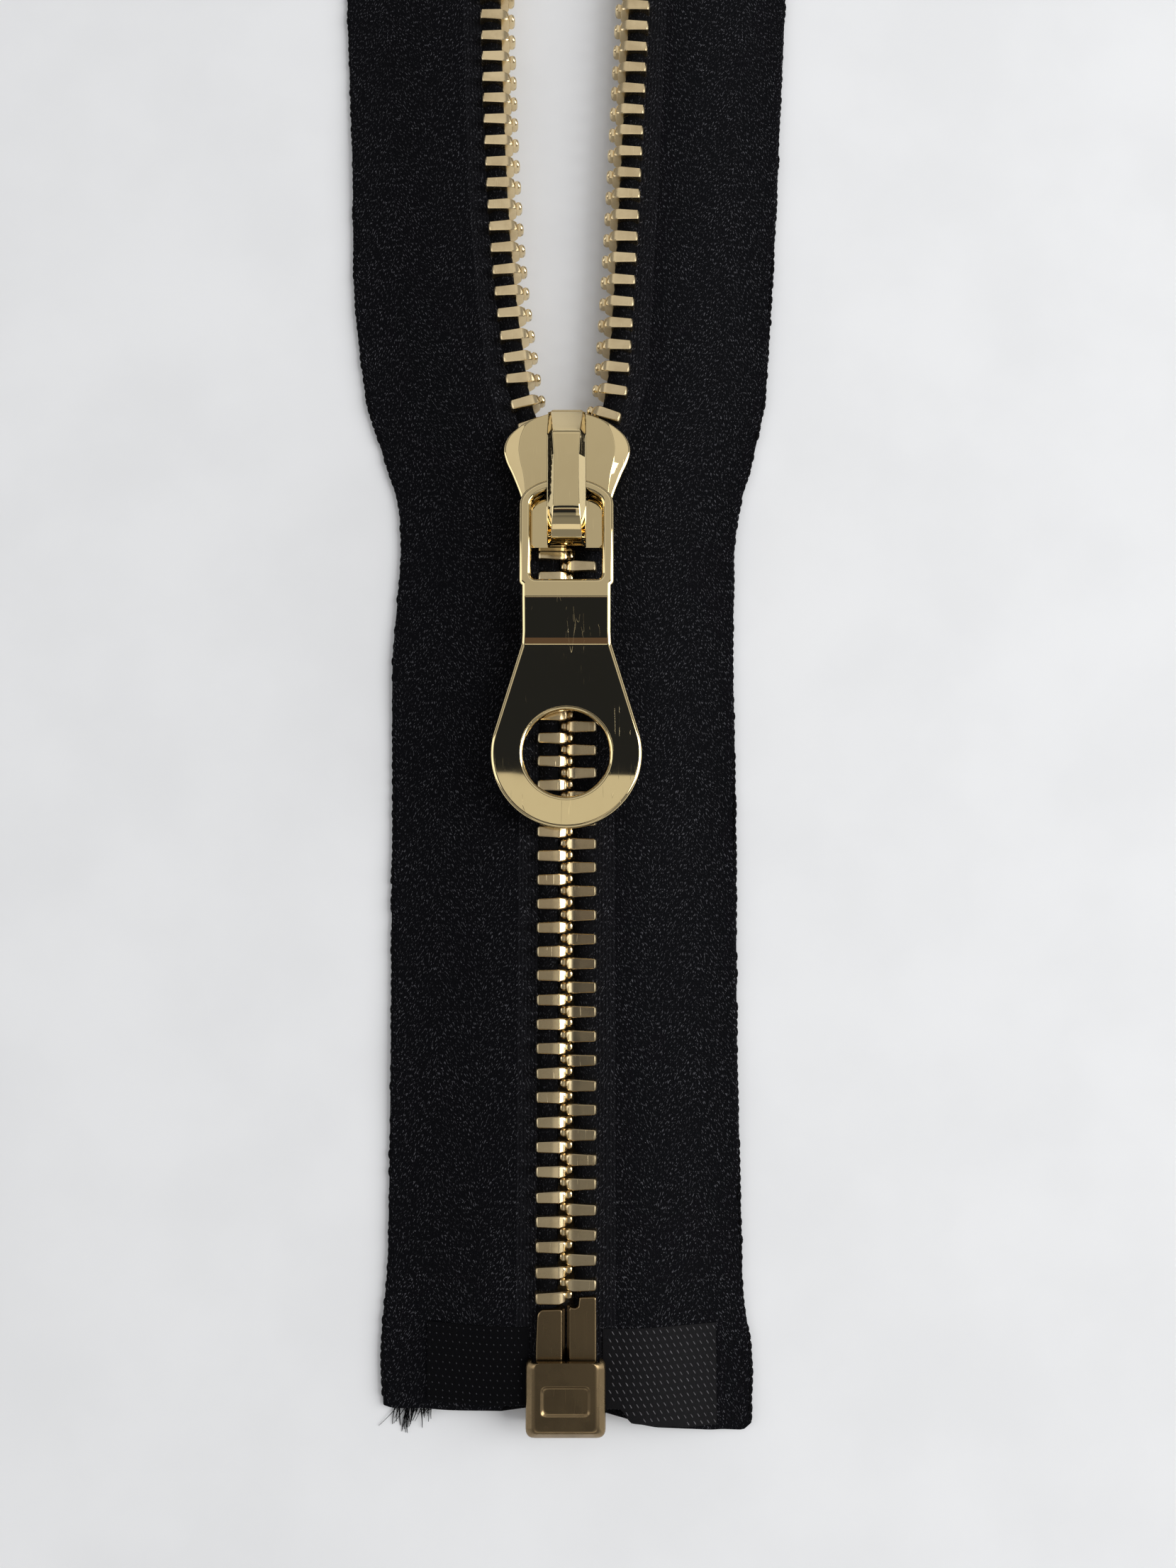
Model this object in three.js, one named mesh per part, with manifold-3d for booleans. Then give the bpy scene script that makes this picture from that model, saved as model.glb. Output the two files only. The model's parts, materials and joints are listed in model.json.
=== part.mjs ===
// Separating metal zipper, partly open: two woven tapes with interlocking teeth,
// a box and two pins at the lower end, and an auto-lock slider with a ring pull.
//
// Millimetres. +X runs across the chain, +Y towards the open end, +Z up from the
// surface the zipper lies on. Stations are distances along Y from the lower end.

import * as THREE from 'three';
import { mergeVertices } from 'three/addons/utils/BufferGeometryUtils.js';
import Module from 'manifold-3d';

const wasm = await Module();
wasm.setup();

// ---- Overall ---------------------------------------------------------------
const LENGTH = 162;
const CLEAR = 0.3; // gap kept between neighbouring pieces

// ---- Chain -----------------------------------------------------------------
const PITCH = 2.25;
const TEETH_BELOW = 33; // a side, from the pins to the slider
const TEETH_BENT = 7; // a side, where the rows part
const TEETH_ABOVE = 21; // a side, from there to the top stops
const MID_Z = 2.45; // middle plane of teeth and tape
const TOOTH_HEIGHT = 2.5;
const TOOTH_LEG_X = 2.95; // outer end of a tooth, from the chain's centre
const TOOTH_HEAD_X = -0.65; // tip of a tooth, past the chain's centre
const TOOTH_HALF_THICK = 0.52;
const HEAD_HALF_THICK = 0.37;
const CORD_X = 2.15;
const CORD_RADIUS = 0.75;
const FIRST_TOOTH = { left: 12.3, right: 12.3 + PITCH / 2 };

// ---- Tape ------------------------------------------------------------------
const TAPE_THICK = 0.6;
const TAPE_INNER_X = 3.1;
const TAPE_FLAT_X = 9.2; // the tape lies level with the chain up to here
const TAPE_OUTER_X = 16.8;
const TAPE_FOOT = { left: 2.3, right: 0 };
const FILM_THICK = 0.12;
const FILM_GAP = 0.02;
const FILM_OUTER_X = { left: 12.9, right: 14 };
const FILM_SPAN = { left: [2.5, 9.5], right: [0.2, 9.3] };

// ---- How the two halves part above the slider --------------------------------
const SPREAD = 2.9; // each row's sideways step as it leaves the slider
const SPREAD_START = 4.7; // from the slider's rear edge
const SPREAD_RUN = 13;
const FLARE_START = 12.7; // from the slider's rear edge
const FLARE = {
  left: { lean: 0.02, reach: 2.6, ease: 14 },
  right: { lean: 0.05, reach: 0.38, ease: 8 },
}; // how each row drifts on outwards: a straight lean, and a reach that it eases into

// ---- Slider ----------------------------------------------------------------
const SLIDER_REAR = 82.3;
const SLIDER_LENGTH = 13.4;
const LOWER_PLATE = [0, 0.9];
const UPPER_PLATE = [4, 5];
const LOWER_FLANGE_TOP = 1.9;
const UPPER_FLANGE_BASE = 3;
const TONGUE = 0.4; // how far the post's front stands past the plates
const CROWN_WIDTH = 3.7;
const CROWN_TOP = 8.4;
const CROWN_CEILING = 7.65;
const CROWN_BEVEL = 0.45;
const CLAW_WIDTH = 1;
const CLAW_STATION = 8.4; // from the slider's rear edge
const PAWL_Z = 6.9;
const PAWL_THICK = 0.3;

// ---- Pull ------------------------------------------------------------------
const PIVOT_STATION = SLIDER_REAR + 5.9;
const PIVOT_Z = 5.95;
const PULL_THICK = 1.2;
const PULL_BEVEL = 0.2;
const LOOP_HALF_WIDTH = 4.5;
const LOOP_BAR = 1.13;
const LOOP_TOP = 0.56; // past the pivot
const LOOP_ARCH = 2.6;
const LOOP_FOOT = -9.9; // lower edge of the loop, from the pivot
const LOOP_FOOT_BAR = 0.6; // the loop's lower bar
const STRAP_HALF_WIDTH = 4.23;
const CREASE = -15.4; // from the pivot
const RING_CENTRE = -25.8; // from the pivot
const RING_RADIUS = 7.15;
const RING_HOLE_RADIUS = 4.1;
const RING_Z = 5.02;

// ---- Box, pins and stops -----------------------------------------------------
const BOX_HALF_WIDTH = 3.65;
const BOX_LENGTH = 6.95;
const BOX_Z = [0.5, 4.3];
const BOX_BEVEL = 0.7;
const BOX_PANEL_DEPTH = 0.15;
const BOX_END_WALL = 1.2;
const BOX_CAVITY_X = 3.1;
const BOX_CAVITY_Z = [1, 3.9];
const BOX_SLOT_Z = [1.7, 3.2]; // side slots that the tapes pass through
const BOX_CORE_X = 2.7;
const PIN_GAP_X = 0.3; // half the gap between the two pins
const PIN_OUTER_X = 2.8;
const PIN_FOOT = 1.5;
const PIN_TOP = { left: 11.3, right: 12.4 };
const PIN_Z = [1.3, 3.6];
const STOP_LENGTH = 2.2;

const FINISH = {
  gold: { color: 0xd9c285, roughness: 0.16, metalness: 1 },
  toothGold: { color: 0xc9b47c, roughness: 0.3, metalness: 1 },
  agedBrass: { color: 0x6f5d36, roughness: 0.35, metalness: 1 },
  steel: { color: 0xb9b6ae, roughness: 0.3, metalness: 1 },
  tape: { color: 0x101116, roughness: 0.95, metalness: 0 },
  film: { color: 0x0c0c0e, roughness: 0.45, metalness: 0 },
};

const SIDES = { left: -1, right: 1 };
const SLIDER_FRONT = SLIDER_REAR + SLIDER_LENGTH;
const STEP_STATION = SLIDER_REAR + SPREAD_START;

// ---- Small helpers -----------------------------------------------------------

/** Shape from a list of [x, y] corners. */
function polygon(corners) {
  return new THREE.Shape(corners.map(([x, y]) => new THREE.Vector2(x, y)));
}

/** Corners on one side of the Y axis, in rising order, closed by their mirror images. */
function mirrored(corners) {
  const back = corners.filter(([x]) => x > 0).map(([x, y]) => [-x, y]);
  return polygon([...corners, ...back.reverse()]);
}

/** Plan outline raised between two heights. */
function raised(shape, [low, high]) {
  const options = { depth: high - low, bevelEnabled: false };
  return new THREE.ExtrudeGeometry(shape, options).translate(0, 0, low);
}

/** Plan outline raised between two heights, with both rims bevelled inside the outline. */
function raisedWithBevel(shape, [low, high], bevel) {
  const options = {
    depth: high - low - 2 * bevel,
    bevelThickness: bevel,
    bevelSize: bevel,
    bevelOffset: -bevel,
    bevelSegments: 1,
  };
  return new THREE.ExtrudeGeometry(shape, options).translate(0, 0, low + bevel);
}

/** Block between two opposite corners. */
function block([x0, y0, z0], [x1, y1, z1]) {
  const geometry = new THREE.BoxGeometry(x1 - x0, y1 - y0, z1 - z0);
  return geometry.translate((x0 + x1) / 2, (y0 + y1) / 2, (z0 + z1) / 2);
}

/** Outline in the YZ plane, made as thick as width across X and centred on x = 0. */
function crosswise(shape, width) {
  const geometry = new THREE.ExtrudeGeometry(shape, { depth: width, bevelEnabled: false });
  return geometry.translate(0, 0, -width / 2).rotateY(Math.PI / 2).rotateX(Math.PI / 2);
}

function toSolid(geometry) {
  const bare = geometry.clone();
  bare.deleteAttribute('normal');
  bare.deleteAttribute('uv');
  const merged = mergeVertices(bare);
  const vertProperties = new Float32Array(merged.attributes.position.array);
  const triVerts = new Uint32Array(merged.index.array);
  return new wasm.Manifold(new wasm.Mesh({ numProp: 3, vertProperties, triVerts }));
}

function toGeometry(solid) {
  const mesh = solid.getMesh();
  const geometry = new THREE.BufferGeometry();
  geometry.setAttribute('position', new THREE.BufferAttribute(mesh.vertProperties, 3));
  geometry.setIndex(new THREE.BufferAttribute(mesh.triVerts, 1));
  geometry.computeVertexNormals();
  return geometry;
}

/** Join the first list of geometries and cut the second list out of them. */
function carve(added, removed = []) {
  const [first, ...rest] = added.map(toSolid);
  const joined = rest.reduce((solid, next) => solid.add(next), first);
  return toGeometry(removed.map(toSolid).reduce((solid, next) => solid.subtract(next), joined));
}

function piece(name, geometry, finish) {
  const mesh = new THREE.Mesh(geometry, new THREE.MeshStandardMaterial(FINISH[finish]));
  mesh.name = name;
  return mesh;
}

// ---- Path of one half ----------------------------------------------------------

/** How far a row steps out of its closed place as it leaves the slider. */
function stepAt(station) {
  const t = THREE.MathUtils.clamp((station - STEP_STATION) / SPREAD_RUN, 0, 1);
  return SPREAD * t * t * (3 - 2 * t);
}

/** How far a row stands out from its closed place at a station. */
function spreadAt(side, station) {
  const { lean, reach, ease } = FLARE[side];
  const past = Math.max(0, station - SLIDER_REAR - FLARE_START);
  return stepAt(station) + lean * past + (reach * past ** 2) / (past ** 2 + ease ** 2);
}

/** Slope of a row's path at a station, positive outwards. */
function slopeAt(side, station) {
  return spreadAt(side, station + 0.5) - spreadAt(side, station - 0.5);
}

/** Centre line of one half between two stations, as a curve through many close points. */
function halfPath(side, from, to, steps) {
  const spans = steps === 1 ? 1 : 3 * steps;
  const points = [];
  for (let i = 0; i <= spans; i += 1) {
    const station = THREE.MathUtils.lerp(from, to, i / spans);
    points.push(new THREE.Vector3(SIDES[side] * spreadAt(side, station), station, 0));
  }
  return steps === 1 ? new THREE.LineCurve3(...points) : new THREE.CatmullRomCurve3(points);
}

/** Section of [out, z] corners carried along one half's centre line. */
function sweep(side, section, from, to, steps) {
  const shape = polygon(section.map(([out, z]) => [-z, -SIDES[side] * out]));
  const extrudePath = halfPath(side, from, to, steps);
  return new THREE.ExtrudeGeometry(shape, { extrudePath, steps, bevelEnabled: false });
}

// ---- Tape and films --------------------------------------------------------------

/** Middle height of the tape at a distance out: level by the chain, then down to the table. */
function tapeMidZ(out) {
  const t = THREE.MathUtils.clamp((out - TAPE_FLAT_X) / (TAPE_OUTER_X - TAPE_FLAT_X), 0, 1);
  return THREE.MathUtils.lerp(MID_Z, TAPE_THICK / 2, t);
}

/** Band that follows the tape between two distances out, from one height off its middle. */
function tapeBand(inner, outer, low, high) {
  const outs = [inner, TAPE_FLAT_X, outer];
  const under = outs.map((out) => [out, tapeMidZ(out) + low]);
  const over = outs.map((out) => [out, tapeMidZ(out) + high]);
  return [...under, ...over.reverse()];
}

/** Station halfway below the tooth of that number, where one half can be divided. */
function breakBelow(side, toothIndex) {
  return FIRST_TOOTH[side] + (toothIndex - 0.5) * PITCH;
}

function tapePieces(side) {
  const half = TAPE_THICK / 2;
  const section = tapeBand(TAPE_INNER_X, TAPE_OUTER_X, -half, half);
  const breaks = [0, TEETH_BELOW, TEETH_BELOW + TEETH_BENT].map((i) => breakBelow(side, i));
  const top = LENGTH + TAPE_INNER_X * Math.sin(Math.atan(slopeAt(side, LENGTH)));
  const spans = {
    foot: [TAPE_FOOT[side], breaks[0] - CLEAR / 2, 1],
    run: [breaks[0] + CLEAR / 2, breaks[1] - CLEAR / 2, 1],
    bend: [breaks[1] + CLEAR / 2, breaks[2] - CLEAR / 2, 8],
    upper: [breaks[2] + CLEAR / 2, top, 6],
  };
  return Object.entries(spans).map(([part, [from, to, steps]]) =>
    piece(`${side}_tape_${part}`, sweep(side, section, from, to, steps), 'tape'),
  );
}

function filmPieces(side) {
  const [from, to] = FILM_SPAN[side];
  const near = TAPE_THICK / 2 + FILM_GAP;
  const far = near + FILM_THICK;
  const faces = { front: [near, far], back: [-far, -near] };
  const outer = FILM_OUTER_X[side];
  return Object.entries(faces).map(([face, [low, high]]) => {
    const section = tapeBand(TAPE_INNER_X + CLEAR, outer, low, high);
    return piece(`${side}_film_${face}`, sweep(side, section, from, to, 1), 'film');
  });
}

// ---- Teeth -----------------------------------------------------------------------

/** One tooth seen from above: a block with clamped legs, a shoulder and a narrow head. */
function toothOutline() {
  const far = [
    [TOOTH_LEG_X, TOOTH_HALF_THICK],
    [0.6, TOOTH_HALF_THICK],
    [0.25, HEAD_HALF_THICK],
    [-0.35, HEAD_HALF_THICK],
    [TOOTH_HEAD_X, HEAD_HALF_THICK / 2],
  ];
  const near = far.map(([x, y]) => [x, -y]).reverse();
  return polygon([...far, ...near]);
}

/** Octagon around the cord that the teeth are clamped on. */
function cordSection() {
  const corners = [];
  for (let i = 0; i < 8; i += 1) {
    const turn = ((i + 0.5) * Math.PI) / 4;
    corners.push([CORD_X + CORD_RADIUS * Math.cos(turn), MID_Z + CORD_RADIUS * Math.sin(turn)]);
  }
  return corners;
}

/** One row of teeth on its cord, from one tooth number to another. */
function toothRow(side, firstIndex, count, cordSteps) {
  const span = [MID_Z - TOOTH_HEIGHT / 2, MID_Z + TOOTH_HEIGHT / 2];
  const tooth = raised(toothOutline(), span);
  const stationOf = (index) => FIRST_TOOTH[side] + index * PITCH;
  const placed = [];
  for (let index = firstIndex; index < firstIndex + count; index += 1) {
    const station = stationOf(index);
    const slope = slopeAt(side, station) * SIDES[side];
    const copy = tooth.clone();
    if (side === 'left') copy.rotateZ(Math.PI);
    copy.rotateZ(-Math.atan(slope));
    copy.translate(SIDES[side] * spreadAt(side, station), station, 0);
    placed.push(copy);
  }
  const from = stationOf(firstIndex) - TOOTH_HALF_THICK;
  const to = stationOf(firstIndex + count - 1) + TOOTH_HALF_THICK;
  return carve([sweep(side, cordSection(), from, to, cordSteps), ...placed]);
}

function toothRows(side) {
  const above = TEETH_BELOW + TEETH_BENT;
  return [
    piece(`${side}_teeth_run`, toothRow(side, 0, TEETH_BELOW, 1), 'toothGold'),
    piece(`${side}_teeth_bend`, toothRow(side, TEETH_BELOW, TEETH_BENT, 6), 'toothGold'),
    piece(`${side}_teeth_upper`, toothRow(side, above, TEETH_ABOVE, 6), 'toothGold'),
  ];
}

/** Crimped stop above the last tooth. */
function topStop(side) {
  const count = TEETH_BELOW + TEETH_BENT + TEETH_ABOVE;
  const station = FIRST_TOOTH[side] + count * PITCH;
  const half = STOP_LENGTH / 2;
  const outline = polygon([[0.5, -half], [TOOTH_LEG_X, -half], [TOOTH_LEG_X, half], [0.5, half]]);
  const span = [MID_Z - TOOTH_HEIGHT / 2, MID_Z + TOOTH_HEIGHT / 2];
  const geometry = raisedWithBevel(outline, span, 0.3);
  if (side === 'left') geometry.rotateZ(Math.PI);
  geometry.rotateZ(-Math.atan(slopeAt(side, station)) * SIDES[side]);
  geometry.translate(SIDES[side] * spreadAt(side, station), station, 0);
  return piece(`${side}_top_stop`, geometry, 'toothGold');
}

// ---- Box and pins ------------------------------------------------------------------

function retainerBox() {
  const body = mirrored([[BOX_HALF_WIDTH, 0], [BOX_HALF_WIDTH, BOX_LENGTH]]);
  const [cavityLow, cavityHigh] = BOX_CAVITY_Z;
  const [slotLow, slotHigh] = BOX_SLOT_Z;
  const past = BOX_LENGTH + 1;
  const cavity = block(
    [-BOX_CAVITY_X, BOX_END_WALL, cavityLow],
    [BOX_CAVITY_X, past, cavityHigh],
  );
  const slots = Object.values(SIDES).map((sign) => {
    const inner = Math.min(sign * BOX_CORE_X, sign * (BOX_HALF_WIDTH + 1));
    const outer = Math.max(sign * BOX_CORE_X, sign * (BOX_HALF_WIDTH + 1));
    return block([inner, -1, slotLow], [outer, past, slotHigh]);
  });
  const [base, face] = BOX_Z;
  const floor = face - BOX_PANEL_DEPTH;
  const panel = block([-2.2, 2.2, floor], [2.2, BOX_LENGTH - 2.2, face + 1]);
  const shell = raisedWithBevel(body, [base, face], BOX_BEVEL);
  return piece('retainer_box', carve([shell], [cavity, ...slots, panel]), 'agedBrass');
}

/** Pin on the left tape: it lifts out of the box when the zipper is taken apart. */
function insertionPin() {
  const corner = 0.8;
  const outline = polygon([
    [-PIN_OUTER_X, PIN_FOOT],
    [-PIN_GAP_X, PIN_FOOT],
    [-PIN_GAP_X, PIN_TOP.left - corner],
    [-PIN_GAP_X - corner / 4, PIN_TOP.left],
    [-PIN_OUTER_X + corner, PIN_TOP.left],
    [-PIN_OUTER_X, PIN_TOP.left - corner],
  ]);
  return piece('insertion_pin', raised(outline, PIN_Z), 'agedBrass');
}

/** Pin on the right tape that holds the box: its inner top corner clears the first tooth. */
function retainerPin() {
  const notchTop = 11.5;
  const notchX = 1.1;
  const outline = polygon([
    [PIN_GAP_X, PIN_FOOT],
    [PIN_OUTER_X, PIN_FOOT],
    [PIN_OUTER_X, PIN_TOP.right],
    [notchX, PIN_TOP.right],
    [notchX, notchTop],
    [PIN_GAP_X, notchTop],
  ]);
  return piece('retainer_pin', raised(outline, PIN_Z), 'agedBrass');
}

// ---- Slider --------------------------------------------------------------------------

/** Right edge of the plates, from the rear corner to the front: [out, from the rear]. */
const PLATE_EDGE = [
  [3.5, 0],
  [3.9, 0.5],
  [3.95, 2.6],
  [4.4, 4.9],
  [5.32, 7.3],
  [5.95, 8.7],
  [6.17, 10.1],
  [5.77, 11.2],
  [4.4, 12.4],
  [2.9, 13.1],
];

/** Distance from the centre to a row's outer edge inside the slider, with running room. */
function channelWall(station) {
  return TOOTH_LEG_X + stepAt(station) + 0.25;
}

function platesOutline() {
  const edge = PLATE_EDGE.map(([out, from]) => [out, SLIDER_REAR + from]);
  return mirrored([...edge, [1.6, SLIDER_FRONT], [1.5, SLIDER_FRONT + TONGUE]]);
}

/** Rim on one side of a plate: from the plate's edge in to the channel's wall. */
function flangeOutline(sign) {
  const edge = PLATE_EDGE.slice(0, -2).map(([out, from]) => [out, SLIDER_REAR + from]);
  const inner = edge.map(([, station]) => [channelWall(station), station]).reverse();
  return polygon([...edge, ...inner].map(([x, y]) => [sign * x, y]));
}

/** Wedge between the plates that parts the two rows. */
function postOutline() {
  const front = SLIDER_FRONT + TONGUE;
  const tip = SLIDER_REAR + 10.4;
  return mirrored([[0, tip], [0.32, tip + 0.6], [0.66, tip + 1.6], [1.1, tip + 2.8], [1, front]]);
}

function sliderBody() {
  const plates = [LOWER_PLATE, UPPER_PLATE].map((span) => raised(platesOutline(), span));
  const flanges = Object.values(SIDES).flatMap((sign) => [
    raised(flangeOutline(sign), [LOWER_PLATE[1] - 0.1, LOWER_FLANGE_TOP]),
    raised(flangeOutline(sign), [UPPER_FLANGE_BASE, UPPER_PLATE[0] + 0.1]),
  ]);
  const post = raised(postOutline(), [LOWER_PLATE[1] - 0.1, UPPER_PLATE[0] + 0.1]);
  const claw = SLIDER_REAR + CLAW_STATION;
  const half = CLAW_WIDTH / 2 + CLEAR;
  const hole = block([-half, claw - 0.75, 3.5], [half, claw + 0.75, 5.5]);
  const edges = [LOWER_PLATE[0], UPPER_PLATE[1]].map((z) => rimCuts(z));
  return piece('slider_body', carve([...plates, ...flanges, post], [hole, ...edges.flat()]), 'gold');
}

/** Slanted cutters that bevel the plates' long edges at one outer face. */
function rimCuts(z) {
  const size = 1.6;
  return PLATE_EDGE.slice(1, -2).flatMap(([out, from], i) => {
    const [nextOut, nextFrom] = PLATE_EDGE[i + 2];
    return Object.values(SIDES).map((sign) => {
      const start = new THREE.Vector2(sign * out, SLIDER_REAR + from);
      const end = new THREE.Vector2(sign * nextOut, SLIDER_REAR + nextFrom);
      const along = end.clone().sub(start);
      const cutter = new THREE.BoxGeometry(size, along.length() + 0.6, size);
      cutter.rotateY(Math.PI / 4);
      cutter.rotateZ(Math.atan2(along.y, along.x) - Math.PI / 2);
      const outward = size * Math.SQRT1_2 - 0.42;
      const normal = new THREE.Vector2(along.y, -along.x).normalize().multiplyScalar(sign * outward);
      const middle = start.clone().add(end).multiplyScalar(0.5).add(normal);
      return cutter.translate(middle.x, middle.y, z);
    });
  });
}

/** Arched cover over the pull's bar, open from side to side. */
function sliderCrown() {
  const base = UPPER_PLATE[1] + 0.05;
  const rear = SLIDER_REAR + 0.1;
  const profile = polygon([
    [SLIDER_FRONT - 0.1, base],
    [SLIDER_FRONT - 3, CROWN_TOP],
    [rear + 2.6, CROWN_TOP],
    [rear + 1, CROWN_TOP - 0.7],
    [rear, CROWN_TOP - 2.1],
    [rear, base + CLEAR],
    [rear + 0.9, base + CLEAR],
    [rear + 1.1, CROWN_TOP - 2],
    [rear + 2.2, CROWN_CEILING],
    [SLIDER_REAR + 9.5, CROWN_CEILING],
    [SLIDER_REAR + 9.5, base],
  ]);
  const bevel = CROWN_WIDTH / 2 + CROWN_BEVEL;
  const cuts = Object.values(SIDES).map((sign) => {
    const cutter = block([-1, SLIDER_REAR - 1, -1], [1, SLIDER_FRONT + 1, 1]).rotateY(Math.PI / 4);
    return cutter.translate(sign * bevel, 0, CROWN_TOP + CROWN_BEVEL);
  });
  return piece('slider_crown', carve([crosswise(profile, CROWN_WIDTH)], cuts), 'gold');
}

/** Spring strip under the crown, with a claw that drops through the upper plate. */
function lockPawl() {
  const claw = SLIDER_REAR + CLAW_STATION;
  const top = PAWL_Z + PAWL_THICK;
  const profile = polygon([
    [SLIDER_REAR + 2.8, PAWL_Z],
    [claw - 0.3, PAWL_Z],
    [claw - 0.3, UPPER_PLATE[0] - 0.05],
    [claw + 0.3, UPPER_PLATE[0] - 0.05],
    [claw + 0.3, top],
    [SLIDER_REAR + 2.8, top],
  ]);
  return piece('lock_pawl', crosswise(profile, CLAW_WIDTH), 'steel');
}

// ---- Pull ----------------------------------------------------------------------------

/** Corners along an elliptical arc, both ends included. */
function arcCorners([cx, cy], [rx, ry], from, to, steps) {
  const corners = [];
  for (let i = 0; i <= steps; i += 1) {
    const angle = THREE.MathUtils.lerp(from, to, i / steps);
    corners.push([cx + rx * Math.cos(angle), cy + ry * Math.sin(angle)]);
  }
  return corners;
}

/** Wire loop that turns under the crown, drawn from the pivot. */
function loopOutline() {
  const shoulder = LOOP_TOP - LOOP_ARCH;
  const outer = LOOP_HALF_WIDTH;
  const inner = LOOP_HALF_WIDTH - LOOP_BAR;
  const arch = arcCorners([0, shoulder], [outer, LOOP_ARCH], 0, Math.PI, 16);
  const innerArch = arcCorners([0, shoulder], [inner, LOOP_ARCH - LOOP_BAR], 0, Math.PI, 16);
  const shape = polygon([[-outer, LOOP_FOOT], [outer, LOOP_FOOT], ...arch]);
  const foot = LOOP_FOOT + LOOP_FOOT_BAR;
  shape.holes.push(polygon([[-inner, foot], [inner, foot], ...innerArch]));
  return shape;
}

/** Ring end: straight flanks that run from the strap on to a round end. */
function ringOutline() {
  const reach = CREASE - RING_CENTRE;
  const tangent = Math.acos(RING_RADIUS / Math.hypot(STRAP_HALF_WIDTH, reach));
  const angle = Math.atan2(reach, STRAP_HALF_WIDTH) - tangent;
  const round = arcCorners([0, 0], [RING_RADIUS, RING_RADIUS], angle, -Math.PI - angle, 24);
  return polygon([[STRAP_HALF_WIDTH, reach], ...round, [-STRAP_HALF_WIDTH, reach]]);
}

function pullTab() {
  const half = PULL_THICK / 2;
  const drop = PIVOT_Z - RING_Z;
  const loop = raisedWithBevel(loopOutline(), [-half, half], PULL_BEVEL);
  const lap = 0.35; // the strap runs this far into the loop's bar and into the ring
  const strapProfile = polygon([
    [LOOP_FOOT + lap, -half],
    [LOOP_FOOT + lap, half],
    [LOOP_FOOT, half],
    [CREASE, half - drop],
    [CREASE - lap, half - drop],
    [CREASE - lap, -half - drop],
    [CREASE, -half - drop],
    [LOOP_FOOT, -half],
  ]);
  const strap = crosswise(strapProfile, 2 * STRAP_HALF_WIDTH);
  const bore = new THREE.CylinderGeometry(RING_HOLE_RADIUS, RING_HOLE_RADIUS, 4, 28);
  bore.rotateX(Math.PI / 2).translate(0, RING_CENTRE, -drop);
  const ring = raisedWithBevel(ringOutline(), [-half, half], PULL_BEVEL);
  ring.translate(0, RING_CENTRE, -drop);
  const tab = piece('pull_tab', carve([loop, strap, ring], [bore]), 'gold');
  tab.position.set(0, PIVOT_STATION, PIVOT_Z);
  return tab;
}

// ---- Assembly --------------------------------------------------------------------------

function halfZipper(side) {
  const group = new THREE.Group();
  const pin = side === 'left' ? insertionPin() : retainerPin();
  group.add(...tapePieces(side), ...filmPieces(side), ...toothRows(side), topStop(side), pin);
  return group;
}

function slider() {
  const group = new THREE.Group();
  group.add(sliderBody(), sliderCrown(), lockPawl(), pullTab());
  return group;
}

const zipper = new THREE.Group();
zipper.add(halfZipper('left'), halfZipper('right'), retainerBox(), slider());
zipper.position.y = -LENGTH / 2;

export default zipper;
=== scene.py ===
"""Separating metal zipper, partly open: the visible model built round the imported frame.

Sizes are in millimetres and stations are distances along the chain from the lower end.
`to_world` turns them into the frame's metres when a mesh is made.
"""
import json
import logging
import math
import random
from contextlib import contextmanager
from dataclasses import dataclass, field
from enum import Enum
from typing import ClassVar, Iterable, Iterator, Sequence

import bmesh
import bpy
from mathutils import Matrix, Vector


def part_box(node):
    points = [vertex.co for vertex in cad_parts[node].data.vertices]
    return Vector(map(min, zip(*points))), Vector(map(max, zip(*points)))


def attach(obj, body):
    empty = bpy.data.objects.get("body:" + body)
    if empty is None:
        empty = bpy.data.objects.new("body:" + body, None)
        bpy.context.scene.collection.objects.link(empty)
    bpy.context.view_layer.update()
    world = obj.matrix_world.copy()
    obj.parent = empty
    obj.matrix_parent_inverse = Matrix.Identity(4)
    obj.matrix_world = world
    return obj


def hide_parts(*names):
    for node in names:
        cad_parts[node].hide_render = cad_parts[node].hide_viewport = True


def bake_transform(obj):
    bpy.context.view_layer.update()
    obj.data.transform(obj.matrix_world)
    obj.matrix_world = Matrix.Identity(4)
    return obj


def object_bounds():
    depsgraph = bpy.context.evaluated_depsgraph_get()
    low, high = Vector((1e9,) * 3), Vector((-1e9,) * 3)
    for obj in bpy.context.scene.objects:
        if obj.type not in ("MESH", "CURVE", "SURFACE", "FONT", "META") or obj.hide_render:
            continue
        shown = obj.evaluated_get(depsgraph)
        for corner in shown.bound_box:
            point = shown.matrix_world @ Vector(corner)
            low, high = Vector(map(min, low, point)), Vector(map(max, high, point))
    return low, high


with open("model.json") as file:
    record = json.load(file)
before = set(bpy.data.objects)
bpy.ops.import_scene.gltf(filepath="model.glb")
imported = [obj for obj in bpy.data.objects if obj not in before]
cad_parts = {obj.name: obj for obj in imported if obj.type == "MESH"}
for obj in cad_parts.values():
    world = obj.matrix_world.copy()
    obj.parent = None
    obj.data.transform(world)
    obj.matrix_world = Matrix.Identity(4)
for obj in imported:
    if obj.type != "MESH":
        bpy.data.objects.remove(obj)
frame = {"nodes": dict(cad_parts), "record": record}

log = logging.getLogger("zipper")

Point = tuple[float, float, float]
Plan = tuple[float, float]

MM = 0.001
CAD_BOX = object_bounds()
LOWER_END = CAD_BOX[0].y / MM
WEAVE_ATTRIBUTE = "weave"


# ---------------------------------------------------------------------------
# Layout
# ---------------------------------------------------------------------------
class Side(Enum):
    """The two halves of the zipper, by the sign of their X."""

    LEFT = -1
    RIGHT = 1

    @property
    def word(self) -> str:
        """Name used in the frame's bodies and nodes."""
        return self.name.lower()


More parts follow.
